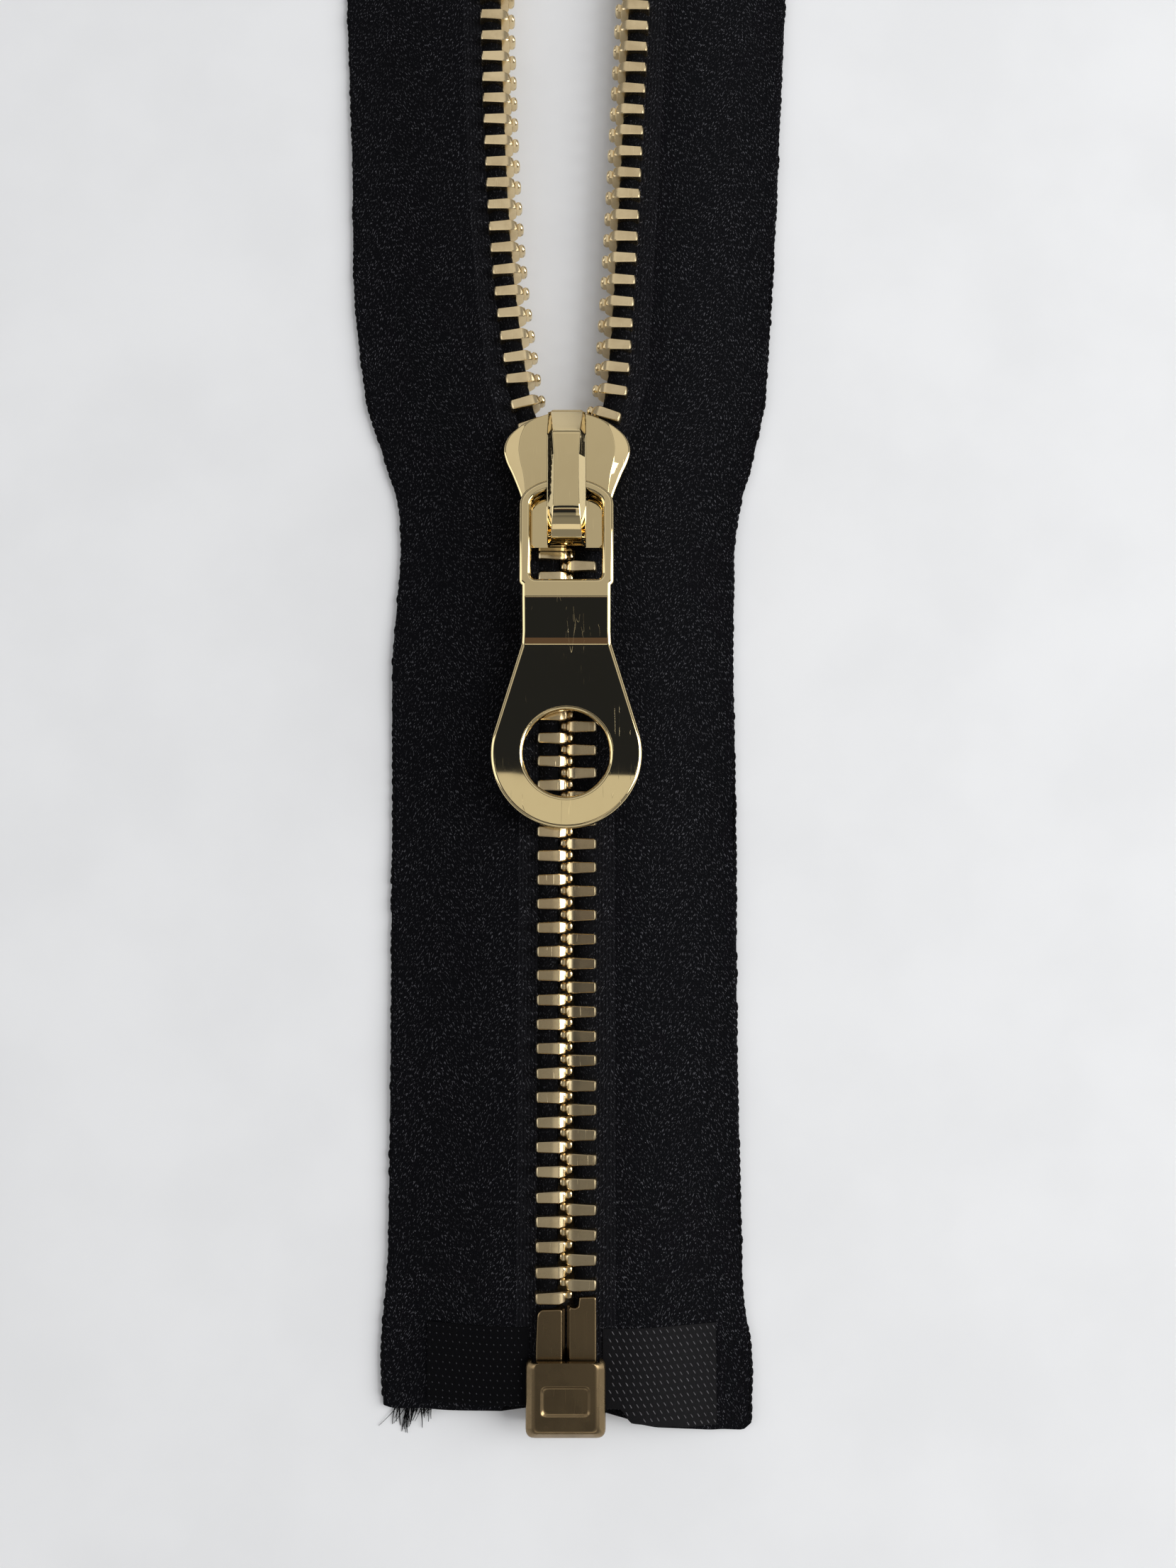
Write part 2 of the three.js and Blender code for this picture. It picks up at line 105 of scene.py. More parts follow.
class Stretch(Enum):
    """The two lengths that each half is made in, so that the lower can part."""

    LOWER = "lower"
    UPPER = "upper"


def smooth(t: float) -> float:
    """Ease from 0 to 1 with level ends."""
    t = min(1.0, max(0.0, t))
    return t * t * (3 - 2 * t)


def station_of(metres: float) -> float:
    """Station of a Y given in the frame's metres."""
    return metres / MM - LOWER_END


def knot_value(knots: Sequence[Plan], t: float) -> float:
    """Read a run of eased spans between knots.

    Args:
        knots: Knots as (t, value), in rising order.
        t: Where to read it.

    Returns:
        The value, held level before the first knot and after the last.
    """
    if t <= knots[0][0]:
        return knots[0][1]
    for (t0, v0), (t1, v1) in zip(knots, knots[1:]):
        if t <= t1:
            return v0 + (v1 - v0) * smooth((t - t0) / (t1 - t0))
    return knots[-1][1]


def joint_reach(name: str) -> float:
    """Upper limit of a sliding joint, in millimetres."""
    joints = frame["record"]["behaviour"]["joints"]
    return next(joint["range_m"][1] for joint in joints if joint["name"] == name) / MM


@dataclass(frozen=True)
class HalfShape:
    """How one half lies: the way it drifts outwards, its free edge and its cut end.

    Attributes:
        lean: Steady drift outwards, per millimetre past the slider.
        reach: Most that the curved part of the drift adds.
        ease: Distance over which half of the reach sets in.
        edge: Free edge as (station, distance out) knots.
        foot: Cut end as (distance out, station) knots.
    """

    lean: float
    reach: float
    ease: float
    edge: tuple[Plan, ...]
    foot: tuple[Plan, ...]


SHAPES = {
    Side.LEFT: HalfShape(
        lean=0.02,
        reach=2.6,
        ease=14.0,
        edge=((2, 17.1), (6, 17.4), (16, 16.85), (30, 16.85), (52, 17.05), (71, 17.3), (84, 16.65))
        + ((92, 17.25), (105, 17.3), (125, 16.65), (142, 16.9)),
        foot=((5.6, 2.5), (5.9, 2.05), (12.6, 1.65), (16.0, 1.45), (17.2, 1.7)),
    ),
    Side.RIGHT: HalfShape(
        lean=0.05,
        reach=0.38,
        ease=8.0,
        edge=((2, 17.3), (5, 17.45), (13, 16.6), (35, 16.35), (60, 16.5), (72, 16.4), (82, 16.6))
        + ((91, 17.5), (100, 16.82), (125, 16.95), (142, 17.05)),
        foot=((4.8, 2.2), (6.2, 0.9), (9.0, 0.4), (14.0, -0.3), (16.4, -0.45), (17.3, 0.1)),
    ),
}


@dataclass(frozen=True)
class Layout:
    """Driving sizes of the chain and the way its two halves part."""

    length: float = (CAD_BOX[1].y - CAD_BOX[0].y) / MM
    slider_rear: float = station_of(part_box("slider_body")[0].y)
    travel: float = joint_reach("slider_travel")
    pitch: float = 2.25
    teeth: int = 61
    first_left: float = 12.3
    seam: float = 50.0
    mid_z: float = 2.45
    spread: float = 2.9
    bend_offset: float = 4.7
    bend_run: float = 13.0
    flare_offset: float = 12.7
    tape_outer: float = 16.8
    tape_half_thick: float = 0.28
    drape_start: float = 5.2
    table_gap: float = 0.03
    rise_start: float = 6.0
    rise_run: float = 10.0
    edge_rise: float = 0.1

    @property
    def bend_start(self) -> float:
        """Station where the rows begin to part inside the slider."""
        return self.slider_rear + self.bend_offset

    @property
    def foot_bend(self) -> float:
        """The same place once the slider is at its lower limit."""
        return self.bend_start - self.travel

    @property
    def flare_start(self) -> float:
        """Station where each row begins to drift on outwards."""
        return self.slider_rear + self.flare_offset

    def first_tooth(self, side: Side) -> float:
        """Station of one row's lowest tooth."""
        return self.first_left + (self.pitch / 2 if side is Side.RIGHT else 0)

    def step(self, station: float) -> float:
        """How far the slider's post has parted the rows at a station."""
        return self.spread * smooth((station - self.bend_start) / self.bend_run)

    def row_offset(self, side: Side, station: float) -> float:
        """How far a row stands out from its closed place.

        Args:
            side: The half that the row belongs to.
            station: Distance from the lower end.

        Returns:
            The sideways distance, in millimetres.
        """
        shape = SHAPES[side]
        past = max(0.0, station - self.flare_start)
        return self.step(station) + shape.lean * past + shape.reach * past**2 / (past**2 + shape.ease**2)

    def drape_z(self, out: float) -> float:
        """Middle height of the tape at a distance out from its row's centre."""
        low = self.tape_half_thick + self.table_gap
        fall = smooth((out - self.drape_start) / (self.tape_outer - self.drape_start))
        return self.mid_z + (low - self.mid_z) * fall

    def rise_share(self, out: float) -> float:
        """Share of the free edge's unevenness that is felt at a distance out."""
        return smooth((out - self.rise_start) / self.rise_run)


LAYOUT = Layout()


def to_world(point: Point) -> Vector:
    """Frame position of a point given as (x, station, z) in millimetres."""
    x, station, z = point
    return Vector((x, station + LOWER_END, z)) * MM


# ---------------------------------------------------------------------------
# Mesh making
# ---------------------------------------------------------------------------
def new_object(name: str, data: bpy.types.ID) -> bpy.types.Object:
    """Link a new object that holds the data at the frame's origin."""
    obj = bpy.data.objects.new(name, data)
    bpy.context.scene.collection.objects.link(obj)
    return obj


@contextmanager
def editing(mesh: bpy.types.Mesh) -> Iterator[bmesh.types.BMesh]:
    """Open a mesh for editing and write the result back into it."""
    edit = bmesh.new()
    edit.from_mesh(mesh)
    yield edit
    edit.to_mesh(mesh)
    edit.free()


def shade(mesh: bpy.types.Mesh, angle: float = 35.0) -> None:
    """Shade a mesh smooth, but keep edges sharper than the angle crisp."""
    mesh.polygons.foreach_set("use_smooth", [True] * len(mesh.polygons))
    mesh.set_sharp_from_angle(angle=math.radians(angle))


def mesh_object(
    name: str,
    points: Sequence[Point],
    faces: Sequence[Sequence[int]],
    angle: float = 35.0,
    edges: Sequence[Sequence[int]] = (),
) -> bpy.types.Object:
    """Make an object from points in (x, station, z) and faces.

    Args:
        name: Name of the piece.
        points: Corners in millimetres.
        faces: Corner numbers of each face.
        angle: Edges sharper than this many degrees stay crisp.
        edges: Loose edges, for a path that has no faces.

    Returns:
        The new object, with its faces pointing outwards.
    """
    mesh = bpy.data.meshes.new(name)
    mesh.from_pydata([to_world(p) for p in points], list(edges), [list(f) for f in faces])
    mesh.update()
    with editing(mesh) as edit:
        bmesh.ops.remove_doubles(edit, verts=edit.verts, dist=1e-7)
        bmesh.ops.recalc_face_normals(edit, faces=edit.faces)
    shade(mesh, angle)
    return new_object(name, mesh)


def loft(name: str, rings: Sequence[Sequence[Point]], angle: float = 35.0) -> bpy.types.Object:
    """Skin a run of closed rings and cap both ends.

    Args:
        name: Name of the piece.
        rings: Rings with the same number of points, from one end to the other.
        angle: Edges sharper than this many degrees stay crisp.

    Returns:
        The closed solid.
    """
    count = len(rings[0])
    points = [p for ring in rings for p in ring]
    faces: list[list[int]] = []
    for row in range(len(rings) - 1):
        base = row * count
        for i in range(count):
            j = (i + 1) % count
            faces.append([base + i, base + j, base + count + j, base + count + i])
    faces.append(list(range(count))[::-1])
    last = (len(rings) - 1) * count
    faces.append([last + i for i in range(count)])
    return mesh_object(name, points, faces, angle)


def evaluated_copy(obj: bpy.types.Object, name: str) -> bpy.types.Object:
    """Replace an object with a plain mesh of what its modifiers make.

    Args:
        obj: The object, which is removed.
        name: Name of the new mesh and object.

    Returns:
        The new mesh object.
    """
    bpy.context.view_layer.update()
    graph = bpy.context.evaluated_depsgraph_get()
    mesh = bpy.data.meshes.new_from_object(obj.evaluated_get(graph))
    bpy.data.objects.remove(obj)
    mesh.name = name
    return new_object(name, mesh)


def tidy_mesh(obj: bpy.types.Object, angle: float = 35.0) -> None:
    """Merge doubled corners, drop slivers, point faces outwards and shade.

    Args:
        obj: The mesh object, changed in place.
        angle: Edges sharper than this many degrees stay crisp.
    """
    with editing(obj.data) as edit:
        bmesh.ops.remove_doubles(edit, verts=edit.verts, dist=2e-6)
        bmesh.ops.dissolve_degenerate(edit, edges=edit.edges, dist=1e-6)
        bmesh.ops.recalc_face_normals(edit, faces=edit.faces)
    shade(obj.data, angle)


def cut(obj: bpy.types.Object, cutters: Iterable[bpy.types.Object]) -> bpy.types.Object:
    """Subtract closed cutters from a closed object.

    Args:
        obj: The object to cut, which is replaced.
        cutters: What to take away, removed afterwards.

    Returns:
        The cut object, under the same name.
    """
    cutters = list(cutters)
    for cutter in cutters:
        modifier = obj.modifiers.new("Cut", "BOOLEAN")
        modifier.operation = "DIFFERENCE"
        modifier.solver = "EXACT"
        modifier.object = cutter
    result = evaluated_copy(obj, obj.name)
    for cutter in cutters:
        bpy.data.objects.remove(cutter)
    tidy_mesh(result)
    return result


def block(low: Point, high: Point) -> bpy.types.Object:
    """Plain cutter block between two corners."""
    corners = [(low[0], low[2]), (high[0], low[2]), (high[0], high[2]), (low[0], high[2])]
    return loft("cutter", [[(x, station, z) for x, z in corners] for station in (low[1], high[1])])


def crosswise(name: str, profile: Sequence[Plan], half_width: float) -> bpy.types.Object:
    """Carry an outline in (station, z) across X on both sides of the centre.

    Args:
        name: Name of the solid.
        profile: The outline.
        half_width: How far it reaches each way.

    Returns:
        The closed solid.
    """
    rings = [[(x, station, z) for station, z in profile] for x in (-half_width, half_width)]
    return loft(name, rings)


def arc(centre: Plan, radii: Plan, start: float, end: float, steps: int) -> list[Plan]:
    """Lay points along an elliptical arc.

    Args:
        centre: Its centre.
        radii: Its radius along each axis.
        start: First angle, in degrees.
        end: Last angle, in degrees.
        steps: How many spans to divide it into.

    Returns:
        The points, with both ends.
    """
    points = []
    for i in range(steps + 1):
        angle = math.radians(start + (end - start) * i / steps)
        points.append((centre[0] + radii[0] * math.cos(angle), centre[1] + radii[1] * math.sin(angle)))
    return points


def rectangle(half_width: float, half_height: float) -> list[Plan]:
    """Corners of a rectangle about the origin."""
    a, b = half_width, half_height
    return [(-a, -b), (a, -b), (a, b), (-a, b)]


def rounded_corners(corners: Sequence[Plan], radius: float, steps: int = 5) -> list[Plan]:
    """Round every corner of an outline with a short curve.

    Args:
        corners: Outline corners in order.
        radius: How far along each side the rounding begins, at most.
        steps: Spans in each rounded corner.

    Returns:
        The smoothed outline.
    """
    result = []
    count = len(corners)
    for i, corner in enumerate(corners):
        here = Vector(corner)
        before = Vector(corners[i - 1]) - here
        after = Vector(corners[(i + 1) % count]) - here
        start = here + before.normalized() * min(radius, before.length * 0.45)
        end = here + after.normalized() * min(radius, after.length * 0.45)
        for step in range(steps + 1):
            t = step / steps
            bend = start * (1 - t) ** 2 + here * 2 * t * (1 - t) + end * t * t
            result.append((bend.x, bend.y))
    return result


def plate(
    name: str,
    outlines: Sequence[Sequence[Plan]],
    span: Plan,
    bevel: float,
    resolution: int = 3,
) -> bpy.types.Object:
    """Flat plate with rounded rims, from outlines in (x, station).

    Args:
        name: Name of the piece.
        outlines: The outer outline, then any holes.
        span: Lowest and highest Z.
        bevel: Radius of the rims.
        resolution: Extra spans in the rims.

    Returns:
        The closed plate as a mesh object.
    """
    curve = bpy.data.curves.new(name, "CURVE")
    curve.dimensions = "2D"
    curve.fill_mode = "BOTH"
    curve.offset = -bevel * MM
    curve.bevel_depth = bevel * MM
    curve.bevel_resolution = resolution
    curve.extrude = ((span[1] - span[0]) / 2 - bevel) * MM
    for outline in outlines:
        spline = curve.splines.new("POLY")
        spline.points.add(len(outline) - 1)
        for point, (x, station) in zip(spline.points, outline):
            point.co = (x * MM, (station + LOWER_END) * MM, 0.0, 1.0)
        spline.use_cyclic_u = True
    obj = evaluated_copy(new_object(name, curve), name)
    obj.data.transform(Matrix.Translation((0, 0, (span[0] + span[1]) / 2 * MM)))
    tidy_mesh(obj)
    return obj


def flat_patches(edit: bmesh.types.BMesh, least: float) -> dict[int, Vector]:
    """Find the large flat areas of a mesh.

    Args:
        edit: The mesh.
        least: Smallest area that counts, in square millimetres.

    Returns:
        Normal of the flat area that each of its faces belongs to, by face number.
    """
    found: dict[int, Vector] = {}
    seen: set[int] = set()
    for face in edit.faces:
        if face.index in seen:
            continue
        seen.add(face.index)
        patch, stack = [], [face]
        while stack:
            here = stack.pop()
            patch.append(here)
            for edge in here.edges:
                for other in edge.link_faces:
                    if other.index not in seen and other.normal.dot(face.normal) > 0.99998:
                        seen.add(other.index)
                        stack.append(other)
        if sum(f.calc_area() for f in patch) > least * MM * MM:
            normal = sum((f.normal * f.calc_area() for f in patch), Vector()).normalized()
            found.update({f.index: normal for f in patch})
    return found


def crisp_faces(obj: bpy.types.Object, least: float = 1.2, angle: float = 42.0) -> None:
    """Set normals so that flat faces reflect as flat, beside smooth rims.

    Args:
        obj: The finished mesh object.
        least: Smallest flat area that is kept flat, in square millimetres.
        angle: Faces that meet at less than this many degrees share their normals.
    """
    edit = bmesh.new()
    edit.from_mesh(obj.data)
    edit.faces.ensure_lookup_table()
    flats = flat_patches(edit, least)
    limit = math.cos(math.radians(angle))
    normals: list[Vector] = []
    for face in edit.faces:
        for loop in face.loops:
            if face.index in flats:
                normals.append(flats[face.index])
                continue
            near = [f for f in loop.vert.link_faces if f.normal.dot(face.normal) > limit]
            touching = [flats[f.index] for f in near if f.index in flats]
            parts = touching or [f.normal * f.calc_area() for f in near]
            normals.append(sum(parts, Vector()).normalized())
    edit.free()
    obj.data.normals_split_custom_set([tuple(n) for n in normals])


def spline_value(knots: Sequence[Plan], t: float) -> float:
    """Read a smooth curve through knots.

    Args:
        knots: Knots as (t, value), in rising order.
        t: Where to read it.

    Returns:
        The value, held level before the first knot and after the last.
    """
    if t <= knots[0][0]:
        return knots[0][1]
    for i in range(len(knots) - 1):
        if t <= knots[i + 1][0]:
            (t1, v1), (t2, v2) = knots[i], knots[i + 1]
            t0, v0 = knots[max(i - 1, 0)]
            t3, v3 = knots[min(i + 2, len(knots) - 1)]
            m1 = (v2 - v0) / max(t2 - t0, 1e-6)
            m2 = (v3 - v1) / max(t3 - t1, 1e-6)
            h = t2 - t1
            u = (t - t1) / h
            a = 2 * u**3 - 3 * u**2 + 1
            b = u**3 - 2 * u**2 + u
            c = -2 * u**3 + 3 * u**2
            d = u**3 - u**2
            return a * v1 + b * h * m1 + c * v2 + d * h * m2
    return knots[-1][1]


# ---------------------------------------------------------------------------
# Node wiring
# ---------------------------------------------------------------------------
class Wiring:
    """Short notation for adding and joining the nodes of one tree."""

    def __init__(self, tree: bpy.types.NodeTree) -> None:
        """Start on an existing tree."""
        self.tree = tree

    def feed(self, socket: bpy.types.NodeSocket, value: object) -> None:
        """Join an output to the socket, or set the socket's own value."""
        if isinstance(value, bpy.types.NodeSocket):
            self.tree.links.new(value, socket)
        else:
            socket.default_value = value

    def add(
        self, kind: str, inputs: dict[str | int, object] | None = None, **settings: object
    ) -> bpy.types.Node:
        """Add a node, set its properties and fill its inputs.

        Args:
            kind: Blender's type of the node.
            inputs: Values or outputs, by the inputs' names or numbers.
            **settings: The node's properties.

        Returns:
            The new node.
        """
        node = self.tree.nodes.new(kind)
        for key, value in settings.items():
            setattr(node, key, value)
        for key, value in (inputs or {}).items():
            self.feed(node.inputs[key], value)
        return node

    def math(self, operation: str, *values: object, clamp: bool = False) -> bpy.types.NodeSocket:
        """Math node on numbers or outputs."""
        node = self.add("ShaderNodeMath", dict(enumerate(values)), operation=operation, use_clamp=clamp)
        return node.outputs[0]

    def range(
        self, value: object, low: object, high: object, to: tuple[object, object]
    ) -> bpy.types.NodeSocket:
        """Smooth remap of a value from one range to another."""
        inputs = dict(enumerate((value, low, high, *to)))
        return self.add("ShaderNodeMapRange", inputs, interpolation_type="SMOOTHSTEP").outputs[0]

    def combine(self, **parts: object) -> bpy.types.NodeSocket:
        """Vector of the X, Y and Z that are given, with 0 for the others."""
        return self.add("ShaderNodeCombineXYZ", parts).outputs[0]

    def separate(self, vector: object) -> bpy.types.bpy_prop_collection:
        """Outputs X, Y and Z of a vector."""
        return self.add("ShaderNodeSeparateXYZ", {0: vector}).outputs

    def noise(
        self, vector: object, scale: float, detail: float = 2.0, roughness: float = 0.5
    ) -> bpy.types.NodeSocket:
        """Noise value at a position."""
        inputs = {"Vector": vector, "Scale": scale, "Detail": detail, "Roughness": roughness}
        return self.add("ShaderNodeTexNoise", inputs).outputs["Fac"]

    def stretch(self, vector: object, scale: Point, turn: float = 0.0) -> bpy.types.NodeSocket:
        """Scale and turn a position about Z."""
        inputs = {"Vector": vector, "Scale": scale, "Rotation": (0.0, 0.0, math.radians(turn))}
        return self.add("ShaderNodeMapping", inputs).outputs[0]

    def mix(self, factor: object, first: object, second: object) -> bpy.types.NodeSocket:
        """Mix two colours."""
        return self.add("ShaderNodeMix", {0: factor, 6: first, 7: second}, data_type="RGBA").outputs[2]

    def bump(self, height: object, distance: float, strength: float = 1.0) -> bpy.types.NodeSocket:
        """Normal of a height, with the distance in metres that a height of 1 stands for."""
        inputs = {"Strength": strength, "Distance": distance, "Height": height}
        return self.add("ShaderNodeBump", inputs).outputs[0]

    def random(self, least: object, most: object, seed: int) -> bpy.types.NodeSocket:
        """Random number for each point, the same on every run.

        Args:
            least: The smallest it may be.
            most: The largest it may be.
            seed: Seed of the draw.

        Returns:
            The number's output.
        """
        inputs = {"Min": least, "Max": most, "Seed": seed}
        node = self.add("FunctionNodeRandomValue", inputs, data_type="FLOAT")
        return next(s for s in node.outputs if s.enabled)

    def geometry_of(self, obj: bpy.types.NodeSocket) -> bpy.types.NodeSocket:
        """Geometry of an object, about its own origin."""
        inputs = {"Object": obj}
        return self.add("GeometryNodeObjectInfo", inputs, transform_space="ORIGINAL").outputs["Geometry"]

    def group(self, tree: bpy.types.NodeTree, **values: object) -> bpy.types.Node:
        """Place a shader group and fill its named inputs."""
        node = self.add("ShaderNodeGroup", node_tree=tree)
        for key, value in values.items():
            self.feed(node.inputs[key.replace("_", " ")], value)
        return node


def new_group(name: str, kind: str, inputs: dict[str, str], outputs: dict[str, str]) -> Wiring:
    """Make an empty node group with named sockets.

    Args:
        name: Name of the group.
        kind: Blender's tree type.
        inputs: Input names and socket types, such as "Float".
        outputs: Output names and socket types.

    Returns:
        The wiring of the new tree, with its "in" and "out" nodes named so.
    """
    tree = bpy.data.node_groups.new(name, kind)
    for direction, sockets in (("INPUT", inputs), ("OUTPUT", outputs)):
        for socket, type_name in sockets.items():
            tree.interface.new_socket(
                name=socket, in_out=direction, socket_type=f"NodeSocket{type_name}"
            )
    wiring = Wiring(tree)
    wiring.add("NodeGroupInput", name="in")
    wiring.add("NodeGroupOutput", name="out")
    return wiring


# ---------------------------------------------------------------------------
# Geometry Nodes trees
# ---------------------------------------------------------------------------
def row_tree() -> bpy.types.NodeTree:
    """Build the tree that repeats one unit along a row of the zipper.

    Returns:
        A tree whose inputs are the unit, its material, the count, the pitch and the
        shape of the row's path, all in metres.
    """
    sizes = ("First", "Pitch", "Side", "Spread", "Bend Start", "Bend Run", "Flare Start")
    sizes += ("Lean", "Reach", "Ease", "Jitter")
    w = new_group(
        "Row of units",
        "GeometryNodeTree",
        {"Unit": "Object", "Finish": "Material", "Count": "Int"} | {s: "Float" for s in sizes},
        {"Row": "Geometry"},
    )
    given = w.tree.nodes["in"].outputs
    line = w.add(
        "GeometryNodeMeshLine",
        {
            "Count": given["Count"],
            "Start Location": w.combine(Y=given["First"]),
            "Offset": w.combine(Y=given["Pitch"]),
        },
    )

    def spread_at(y: bpy.types.NodeSocket) -> bpy.types.NodeSocket:
        """Sideways place of the row at a Y."""
        end = w.math("ADD", given["Bend Start"], given["Bend Run"])
        step = w.range(y, given["Bend Start"], end, (0.0, given["Spread"]))
        past = w.math("MAXIMUM", w.math("SUBTRACT", y, given["Flare Start"]), 0.0)
        square = w.math("MULTIPLY", past, past)
        whole = w.math("ADD", square, w.math("MULTIPLY", given["Ease"], given["Ease"]))
        flare = w.math("MULTIPLY", w.math("DIVIDE", square, whole), given["Reach"])
        total = w.math("ADD", step, w.math("MULTIPLY", past, given["Lean"]))
        return w.math("MULTIPLY", w.math("ADD", total, flare), given["Side"])

    y = w.separate(w.add("GeometryNodeInputPosition").outputs[0])["Y"]
    small = 0.0005
    here, ahead = spread_at(y), spread_at(w.math("ADD", y, small))
    turn = w.math("ARCTAN2", w.math("SUBTRACT", here, ahead), small)
    wobble = w.math("MULTIPLY", w.random(-1.0, 1.0, seed=7), given["Jitter"])
    moved = w.add("GeometryNodeSetPosition", {"Geometry": line.outputs[0], "Offset": w.combine(X=here)})
    instances = w.add(
        "GeometryNodeInstanceOnPoints",
        {
            "Points": moved.outputs[0],
            "Instance": w.geometry_of(given["Unit"]),
            "Rotation": w.combine(Z=w.math("ADD", turn, wobble)),
        },
    )
    finish_tree(w, instances.outputs[0], given["Finish"])
    return w.tree


def finish_tree(w: Wiring, geometry: bpy.types.NodeSocket, finish: bpy.types.NodeSocket) -> None:
    """End a tree by realizing its instances and setting their material.

    Args:
        w: Wiring of the tree.
        geometry: The instances.
        finish: The material to set.
    """
    real = w.add("GeometryNodeRealizeInstances", {0: geometry})
    dressed = w.add("GeometryNodeSetMaterial", {"Geometry": real.outputs[0], "Material": finish})
    w.feed(w.tree.nodes["out"].inputs[0], dressed.outputs[0])


def path_tree() -> bpy.types.NodeTree:
    """Build the tree that sets a unit of uneven size at even spacing along a path.

    Returns:
        A tree with inputs for the unit, the path, the spacing and the sizes.
    """
    w = new_group(
        "Units along a path",
        "GeometryNodeTree",
        {"Unit": "Object", "Path": "Object", "Finish": "Material"}
        | {s: "Float" for s in ("Spacing", "Least", "Most")},
        {"Row": "Geometry"},
    )
    given = w.tree.nodes["in"].outputs
    curve = w.add("GeometryNodeMeshToCurve", {"Mesh": w.geometry_of(given["Path"])}).outputs[0]
    spaced = {"Curve": curve, "Length": given["Spacing"]}
    points = w.add("GeometryNodeCurveToPoints", spaced, mode="LENGTH").outputs
    instances = w.add(
        "GeometryNodeInstanceOnPoints",
        {
            "Points": points["Points"],
            "Rotation": points["Rotation"],
            "Instance": w.geometry_of(given["Unit"]),
            "Scale": w.random(given["Least"], given["Most"], seed=5),
        },
    )
    finish_tree(w, instances.outputs[0], given["Finish"])
    return w.tree


def lattice_tree() -> bpy.types.NodeTree:
    """Build the tree that lays small raised dashes on a film in staggered diagonals.

    Returns:
        A tree with inputs for the film's sizes, its place and the height of its drape.
    """
    sizes = ("Width", "Length", "Cell", "Centre X", "Centre Y", "Flat", "Outer", "High", "Low")
    w = new_group(
        "Film lattice",
        "GeometryNodeTree",
        {"Dash": "Object", "Finish": "Material"} | {s: "Float" for s in sizes},
        {"Lattice": "Geometry"},
    )
    given = w.tree.nodes["in"].outputs
    grid = w.add("GeometryNodeMeshGrid")
    for way, size in (("X", "Width"), ("Y", "Length")):
        w.feed(grid.inputs[f"Size {way}"], given[size])
        cells = w.math("FLOOR", w.math("DIVIDE", given[size], given["Cell"]))
        w.feed(grid.inputs[f"Vertices {way}"], cells)
    at = w.separate(w.add("GeometryNodeInputPosition").outputs[0])
    row = w.math("ROUND", w.math("DIVIDE", at["Y"], given["Cell"]))
    odd = w.math("PINGPONG", row, 1.0)
    stagger = w.math("MULTIPLY", w.math("SUBTRACT", odd, 0.5), w.math("DIVIDE", given["Cell"], 2.0))
    x = w.math("ADD", w.math("ADD", at["X"], stagger), given["Centre X"])
    y = w.math("ADD", at["Y"], given["Centre Y"])
    fall = (given["High"], given["Low"])
    z = w.range(w.math("ABSOLUTE", x), given["Flat"], given["Outer"], fall)
    laid = {"Geometry": grid.outputs["Mesh"], "Position": w.combine(X=x, Y=y, Z=z)}
    moved = w.add("GeometryNodeSetPosition", laid).outputs[0]
    dashes = {"Points": moved, "Instance": w.geometry_of(given["Dash"])}
    instances = w.add("GeometryNodeInstanceOnPoints", dashes)
    finish_tree(w, instances.outputs[0], given["Finish"])
    return w.tree


def grow(
    name: str, tree: bpy.types.NodeTree, values: dict[str, object], angle: float = 35.0
) -> bpy.types.Object:
    """Run a Geometry Nodes tree and keep its result as a plain mesh.

    Args:
        name: Name of the piece.
        tree: The tree to run.
        values: Values of its inputs, by their names.
        angle: Edges sharper than this many degrees stay crisp.

    Returns:
        The plain mesh object.
    """
    seed = new_object(name, bpy.data.meshes.new(name))
    modifier = seed.modifiers.new("Grow", "NODES")
    modifier.node_group = tree
    for item in tree.interface.items_tree:
        if item.item_type == "SOCKET" and item.in_out == "INPUT":
            modifier[item.identifier] = values[item.name]
    result = evaluated_copy(seed, name)
    shade(result.data, angle)
    return result


# ---------------------------------------------------------------------------
# Shader groups
# ---------------------------------------------------------------------------
def scratch_group() -> bpy.types.NodeTree:
    """Build the group of fine crossing scratches and smudges on polished metal.

    Returns:
        A group whose outputs are a mask of the scratches and one of the smudges.
    """
    w = new_group(
        "Fine scratches",
        "ShaderNodeTree",
        {"Position": "Vector", "Density": "Float", "Smear": "Float"},
        {"Mask": "Float", "Smudge": "Float"},
    )
    given = w.tree.nodes["in"].outputs
    masks = []
    drawn_out = 0.06
    for turn, scale in ((17.0, 900.0), (-38.0, 1300.0), (74.0, 1100.0)):
        long = w.stretch(given["Position"], (scale, scale * drawn_out, scale), turn)
        line = w.noise(long, 1.0, 1.0)
        gap = w.math("ABSOLUTE", w.math("SUBTRACT", line, 0.5))
        thin = w.range(gap, 0.0, 0.006, (1.0, 0.0))
        patch = w.range(w.noise(given["Position"], 260.0 + turn), 0.55, 0.7, (0.0, 1.0))
        masks.append(w.math("MULTIPLY", thin, patch))
    joined = w.math("MAXIMUM", w.math("MAXIMUM", masks[0], masks[1]), masks[2])
    smudge = w.range(w.noise(given["Position"], 210.0, 4.0, 0.65), 0.35, 0.75, (0.0, 1.0))
    out = w.tree.nodes["out"].inputs
    w.feed(out["Mask"], w.math("MULTIPLY", joined, given["Density"]))
    w.feed(out["Smudge"], w.math("MULTIPLY", smudge, given["Smear"]))
    return w.tree


